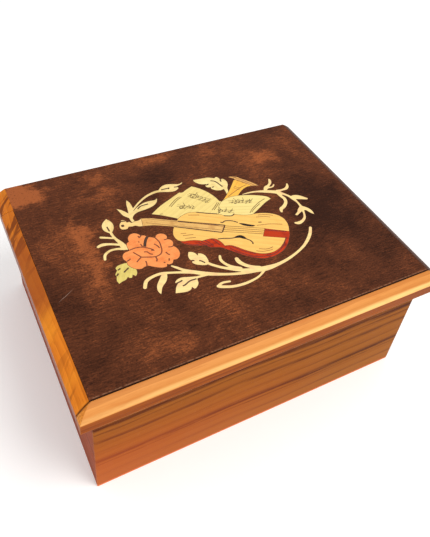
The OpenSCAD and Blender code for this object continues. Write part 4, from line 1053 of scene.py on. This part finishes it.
def front_board_bands(tree, here, colour):
    """The bands of the front, a rosier lower left, painted bounce light low down, and a pale bottom
    edge that is partly rubbed wear and partly painted highlight.
    """
    colour = level_bands(tree, here, colour, FRONT_BANDS, (45, 1500, 1500), paint(84, 34, 6))
    split = in_millimetres(tree, here)
    rosy = plus(tree, times(tree, split["X"], -0.006), 0.22, clamp=True)
    low = between(tree, split["Z"], 50.0, 0.0)
    colour = stain(tree, colour, rosy, low, paint(198, 88, 40))
    # Painted bounce light from the floor: paler towards the bottom.
    colour = stain(tree, colour, between(tree, split["Z"], 18.0, 4.0), 0.22, paint(186, 118, 62))
    # A pale line along the bottom edge: partly rubbed wear, partly painted highlight on the rounded
    # edge.
    return stain(tree, colour, between(tree, split["Z"], 1.7, 1.0), 0.7, paint(240, 138, 92))


def side_board_bands(tree, here, colour):
    """The softer bands of the two sides."""
    return level_bands(tree, here, colour, SIDE_BANDS, (1500, 45, 1500), paint(92, 36, 12))


class PUZZLEBOX_OT_lid_bars(bpy.types.Operator):
    """Finish the bars and blocks round the lid"""

    bl_idname = "puzzle_box.lid_bars"
    bl_label = "Lid Bars"

    def execute(self, context):
        woods = context.scene.puzzle_box_woods
        wear(["front_moulding"], timber(
            "front_bar_honey", tuple(woods.front_bar), 2.2, 1.2, 1.0, contrast=0.6, pores=0.12,
            gloss=0.3, coat=0.03, shine=0.03, extra=front_bar_bands))
        wear(["side_moulding", "left_moulding_block"], timber(
            "side_bar_figured", tuple(woods.side_bar), 2.6, 2.4, 4.0, (0, 0, 90), 1.0, 0.3, 0.3,
            0.06, warm=0.1, shine=0.05, extra=side_bar_figure))
        wear(["front_rail"], timber("rail_waxed", paint(120, 74, 44), 2.0, 1.0, 5.0, gloss=0.5))
        wear(["right_moulding"], timber(
            "right_bar_walnut", paint(78, 42, 26), 2.6, 2.0, 6.5, (0, 0, 90), coat=0.0, shine=0.03))
        wear(["lid_back_edging"], timber("back_edging_walnut", paint(84, 46, 28), 2.0, 1.0, 6.0))
        wear(["lid_core"], timber(
            "lid_core_wood", paint(206, 160, 108), 4.0, 1.5, 7.0, gloss=0.6, coat=0.0))
        wear(["lid_backing"], timber("lid_backing_veneer", paint(168, 100, 56), 3.4, 3.0, 8.0))
        return {"FINISHED"}


class PUZZLEBOX_OT_case(bpy.types.Operator):
    """Finish the walls, veneers and bottom of the box"""

    bl_idname = "puzzle_box.case"
    bl_label = "Box Walls"

    def execute(self, context):
        woods = context.scene.puzzle_box_woods
        for side, seed in (("front", 11.0), ("back", 14.0)):
            wear([side + "_veneer"], timber(
                side + "_veneer_banded", tuple(woods.front_board), 5.0, 0.8, seed, contrast=0.5,
                pores=0.3, gloss=0.4, coat=0.0, shine=0.025, extra=front_board_bands))
        wear(["left_veneer", "right_veneer"], timber(
            "side_veneer_red", tuple(woods.side_board), 6.0, 4.0, 12.0, (0, 0, 90), 0.7, 0.5,
            gloss=0.42, coat=0.0, warm=0.08, shine=0.02, extra=side_board_bands))
        wear(["front_wall", "back_wall"], timber(
            "long_wall_wood", paint(186, 132, 82), 3.2, 1.6, 15.0, gloss=0.5))
        wear(["left_wall", "right_wall"], timber(
            "short_wall_wood", paint(182, 128, 80), 3.2, 1.6, 16.0, (0, 0, 90), gloss=0.5))
        wear(["bottom_board"], timber(
            "bottom_board_wood", paint(202, 158, 108), 4.0, 2.0, 17.0, gloss=0.6, coat=0.0))
        wear(["drawer_tray"], timber(
            "drawer_wood_plain", paint(214, 168, 114), 2.4, 1.0, 18.0, gloss=0.55, coat=0.0))
        return {"FINISHED"}


class PUZZLEBOX_OT_metalwork(bpy.types.Operator):
    """Finish the lock, hinges, screws and key"""

    bl_idname = "puzzle_box.metalwork"
    bl_label = "Metalwork"

    def execute(self, context):
        brass = metal("brass_aged", paint(226, 184, 104), paint(138, 100, 52), 0.35)
        polished = metal("brass_rubbed", paint(236, 198, 122), paint(150, 110, 58), 0.3)
        steel = metal("steel_plain", paint(196, 196, 200), paint(112, 104, 98), 0.45)
        key = metal("key_brass_worn", paint(214, 182, 118), paint(104, 80, 48), 0.7)
        wear(["strike_plate", "left_hinge_wall_leaf", "right_hinge_wall_leaf",
              "left_hinge_lid_leaf", "right_hinge_lid_leaf", "lock_case", "lock_cover"], brass)
        wear(["strike_screws", "hinge_wall_screws", "hinge_lid_screws", "lock_screws",
              "keyhole_plate", "lock_bolt"], polished)
        wear(["left_hinge_pin", "right_hinge_pin", "lock_post", "lock_spring"], steel)
        wear(["key"], key)
        return {"FINISHED"}


class PUZZLEBOX_OT_lining(bpy.types.Operator):
    """Lay the cloth lining on the floor of the box"""

    bl_idname = "puzzle_box.lining"
    bl_label = "Cloth Lining"

    def execute(self, context):
        columns, rows = 54, 42
        thickness, ripple_height = 0.75 * MM, 0.2 * MM
        shape = bmesh.new()
        grid = []
        for row in range(rows + 1):
            line = []
            for column in range(columns + 1):
                x = LINING_LOW.x + LINING_FLAT[0] * column / columns
                y = LINING_LOW.y + LINING_FLAT[1] * row / rows
                ripple = 0.5 + 0.25 * math.sin(x * 190 + 3 * math.sin(y * 70))
                ripple += 0.25 * math.sin(y * 230 + 2 * math.sin(x * 90))
                level = LINING_LOW.z + thickness + ripple_height * ripple
                line.append(shape.verts.new((x, y, level)))
            grid.append(line)
        for row in range(rows):
            for column in range(columns):
                shape.faces.new((grid[row][column], grid[row][column + 1],
                                 grid[row + 1][column + 1], grid[row + 1][column]))
        border = [edge for edge in shape.edges if edge.is_boundary]
        dropped = bmesh.ops.extrude_edge_only(shape, edges=border)["geom"]
        for vert in (part for part in dropped if isinstance(part, bmesh.types.BMVert)):
            vert.co.z = LINING_LOW.z
        rim = [edge for edge in shape.edges if edge.is_boundary]
        bmesh.ops.contextual_create(shape, geom=rim)
        bmesh.ops.recalc_face_normals(shape, faces=shape.faces)
        mesh = mesh_of("cloth_lining", shape)
        mesh.shade_smooth()
        piece = new_piece("cloth_lining", mesh)
        mesh.materials.append(felt("lining_felt_red", paint(112, 24, 30)))
        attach(piece, "box")
        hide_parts("floor_lining")
        return {"FINISHED"}


class PUZZLEBOX_OT_fine_lines(bpy.types.Operator):
    """Cut the saw lines and scorched lines into the picture"""

    bl_idname = "puzzle_box.fine_lines"
    bl_label = "Saw Lines"

    def execute(self, context):
        lines = context.scene.puzzle_box_lines
        brown = dark_line("line_scorched_brown", paint(58, 28, 12), paint(96, 52, 22))
        orange = dark_line("line_rose_orange", paint(104, 44, 18), paint(158, 74, 30))
        olive = dark_line("line_page_olive", paint(112, 84, 40), paint(166, 136, 70))
        burgundy = dark_line("line_rib_burgundy", paint(96, 18, 6), paint(140, 34, 12))
        tan = dark_line("line_table_tan", paint(140, 88, 34), paint(184, 128, 58))
        # name, strokes, width, finish, taper, material slot
        plan = [
            ("rose_petal_cuts", ROSE_CUTS, lines.saw_width, orange, 0.5, "inlay_rose_wood"),
            ("rose_petal_gap", ROSE_GAP, lines.saw_width * 2.2, brown, 0.8, "inlay_rose_wood"),
            ("leaf_vein_cuts", LEAF_CUTS, lines.saw_width * 1.15, brown, 0.6, "inlay_maple"),
            ("violin_cuts", VIOLIN_CUTS, lines.saw_width, brown, 0.5, "inlay_table_wood"),
            ("violin_shade_lines", VIOLIN_SHADES, lines.pen_width, tan, 0.8, "inlay_table_wood"),
            ("horn_lines", HORN_LINES, lines.pen_width, tan, 0.5, "inlay_gold"),
            ("rib_streaks", RIB_STREAKS, lines.saw_width * 0.8, burgundy, 0.6, "inlay_red"),
            ("page_lines", PAGE_LINES, lines.pen_width, olive, 0.6, "inlay_page_wood"),
            ("staff_lines", STAFF_LINES, lines.pen_width * 0.55, olive, 0.3, "inlay_page_wood"),
        ]
        for name, strokes, width, material, taper, slot in plan:
            points, edges = polylines(strokes)
            piece = grow(name, points, edges, "Drawn line", Width=width, Height=2 * lines.height,
                         Smooth=True, Taper=taper, Material=material)
            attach(piece, "lid")
        return {"FINISHED"}


class PUZZLEBOX_OT_glue_lines(bpy.types.Operator):
    """Draw the dark glue line round every inlaid piece"""

    bl_idname = "puzzle_box.glue_lines"
    bl_label = "Glue Lines"

    def execute(self, context):
        lines = context.scene.puzzle_box_lines
        glue = dark_line("line_glue_dark", paint(66, 34, 18), paint(104, 60, 30))
        points, edges = [], []
        for name in INLAYS:
            more, pairs = outline_strokes(name)
            edges += [(a + len(points), b + len(points)) for a, b in pairs]
            points += more
        piece = grow("marquetry_glue_lines", points, edges, "Drawn line", Width=lines.glue_width,
                     Height=1.2 * lines.height, Smooth=False, Taper=0.0, Material=glue)
        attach(piece, "lid")
        return {"FINISHED"}


class PUZZLEBOX_OT_strings(bpy.types.Operator):
    """Stretch the strings of the violin"""

    bl_idname = "puzzle_box.strings"
    bl_label = "Violin Strings"

    def execute(self, context):
        lines = context.scene.puzzle_box_lines
        dark = dark_line("line_string_brown", paint(76, 44, 18), paint(112, 68, 30))
        faint = dark_line("line_string_faint", paint(128, 84, 42), paint(168, 118, 62))
        # name, start of the first and last string, end of the first, count, finish
        sets = [
            ("violin_strings", (75.0, 51.8), (77.3, 54.5), (90.3, 43.9), lines.strings, dark),
            ("fingerboard_strings", (47.6, 68.6), (49.0, 70.6), (75.4, 52.4), lines.strings - 2,
             faint),
        ]
        for name, first, last, end, count, material in sets:
            run = on_panel(*end) - on_panel(*first)
            piece = grow(name, [on_panel(*first)], [], "String set", Count=count,
                         First=on_panel(*first), Last=on_panel(*last), Run=run,
                         Width=lines.string_width / 2, Material=material)
            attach(piece, "lid")
        return {"FINISHED"}


class PUZZLEBOX_OT_music(bpy.types.Operator):
    """Scatter made-up music marks on the two pages"""

    bl_idname = "puzzle_box.music"
    bl_label = "Music Marks"

    def execute(self, context):
        lines = context.scene.puzzle_box_lines
        ink = dark_line("line_note_olive", paint(96, 78, 42), paint(160, 134, 76))
        points = [on_panel(x, y) for x, y in NOTE_SPOTS]
        piece = grow("music_marks", points, [], "Note marks", Head=0.5 * MM, Stem=1.9 * MM,
                     Height=2 * lines.height, Seed=4, Material=ink)
        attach(piece, "lid")
        return {"FINISHED"}


class PUZZLEBOX_OT_studio(bpy.types.Operator):
    """Lay the floor, set the lights and place the camera"""

    bl_idname = "puzzle_box.studio"
    bl_label = "Studio"

    def execute(self, context):
        studio = context.scene.puzzle_box_studio
        self.lay_floor(context, studio)
        self.set_lights(context, studio)
        self.place_camera(context, studio)
        return {"FINISHED"}

    def lay_floor(self, context, studio):
        half = 2.5
        level = CAD_BOX[0].z - 0.00005
        shape = bmesh.new()
        corners = [shape.verts.new((x, y, level)) for x, y in
                   ((-half, -half), (half, -half), (half, half), (-half, half))]
        shape.faces.new(corners)
        mesh = mesh_of("studio_floor", shape)
        floor = new_piece("studio_floor", mesh)
        material, tree, shader, here = new_material("floor_paper")
        tooth = noise(tree, here, 30.0, 3.0)
        pale = tuple(studio.floor)
        colour = ramp(tree, tooth, (0.2, shade(pale, 0.985)), (0.8, pale))
        finish_surface(tree, shader, colour, between(tree, tooth, 0.2, 0.8, 0.85, 0.95), tooth,
                       0.0002, 0.1)
        shader.inputs["Specular IOR Level"].default_value = 0.2
        shader.inputs["Emission Color"].default_value = pale
        shader.inputs["Emission Strength"].default_value = 0.14
        mesh.materials.append(material)

    def set_lights(self, context, studio):
        world = bpy.data.worlds.new("studio_sky")
        context.scene.world = world
        world.use_nodes = True
        sky = world.node_tree.nodes["Background"]
        sky.inputs["Color"].default_value = (1.0, 0.995, 0.985, 1.0)
        sky.inputs["Strength"].default_value = studio.sky
        # name, place, size, power, tint
        plan = [
            ("main_light", (0.28, -0.42, 0.85), 0.55, studio.main_light, (1.0, 0.965, 0.91)),
            ("side_light", (-0.75, -0.35, 0.35), 0.5, studio.side_light, (1.0, 0.97, 0.94)),
        ]
        for name, spot, size, power, tint in plan:
            lamp = bpy.data.lights.new(name, "AREA")
            lamp.shape, lamp.size = "DISK", size
            lamp.energy, lamp.color = power, tint
            light = new_piece(name, lamp)
            light.location = spot
            aim = BOX_MIDDLE - light.location
            light.rotation_euler = aim.to_track_quat("-Z", "Y").to_euler()

    def place_camera(self, context, studio):
        lens = bpy.data.cameras.new("studio_camera")
        camera = new_piece("studio_camera", lens)
        lens.sensor_width = 36.0
        lens.lens = studio.focal_length
        lens.shift_y = -0.1192
        lens.clip_start, lens.clip_end = 0.01, 20.0
        camera.location = (-0.09697, -0.15491, 0.23573)
        camera.rotation_euler = [math.radians(angle) for angle in (48.695, -5.023, -27.496)]
        context.view_layer.update()
        context.scene.camera = camera
        context.scene.view_settings.view_transform = "Standard"
        context.scene.view_settings.look = "None"


class PUZZLEBOX_PT_sidebar(bpy.types.Panel):
    """Every piece of the box and the studio"""

    bl_idname = "PUZZLEBOX_PT_sidebar"
    bl_label = "Puzzle Box"
    bl_space_type = "VIEW_3D"
    bl_region_type = "UI"
    bl_category = "Puzzle Box"

    def draw(self, context):
        for operator in OPERATORS:
            self.layout.operator(operator.bl_idname)
        for group in ("puzzle_box_woods", "puzzle_box_lines", "puzzle_box_studio"):
            settings = getattr(context.scene, group)
            box = self.layout.box()
            for name in settings.bl_rna.properties.keys():
                if name not in {"rna_type", "name"}:
                    box.prop(settings, name)


SETTINGS = {
    "puzzle_box_woods": PUZZLEBOX_PG_woods,
    "puzzle_box_lines": PUZZLEBOX_PG_lines,
    "puzzle_box_studio": PUZZLEBOX_PG_studio,
}
OPERATORS = [
    PUZZLEBOX_OT_studio,
    PUZZLEBOX_OT_burl_panel,
    PUZZLEBOX_OT_marquetry,
    PUZZLEBOX_OT_lid_bars,
    PUZZLEBOX_OT_case,
    PUZZLEBOX_OT_metalwork,
    PUZZLEBOX_OT_lining,
    PUZZLEBOX_OT_fine_lines,
    PUZZLEBOX_OT_glue_lines,
    PUZZLEBOX_OT_strings,
    PUZZLEBOX_OT_music,
]
BUILDERS = [
    build_board_grain,
    build_burl_figure,
    build_edge_wear_and_highlight,
    build_hand_polish,
    build_metal_patina,
    build_felt_nap,
    build_drawn_line,
    build_string_set,
    build_note_marks,
]


def register():
    for kind in [*SETTINGS.values(), *OPERATORS, PUZZLEBOX_PT_sidebar]:
        bpy.utils.register_class(kind)
    for name, kind in SETTINGS.items():
        setattr(bpy.types.Scene, name, bpy.props.PointerProperty(type=kind))


def unregister():
    for name in SETTINGS:
        delattr(bpy.types.Scene, name)
    for kind in [PUZZLEBOX_PT_sidebar, *reversed(OPERATORS), *reversed(SETTINGS.values())]:
        bpy.utils.unregister_class(kind)


def main():
    register()
    for build in BUILDERS:
        build()
    for operator in OPERATORS:
        family, name = operator.bl_idname.split(".")
        getattr(getattr(bpy.ops, family), name)()


if __name__ == "__main__":
    main()
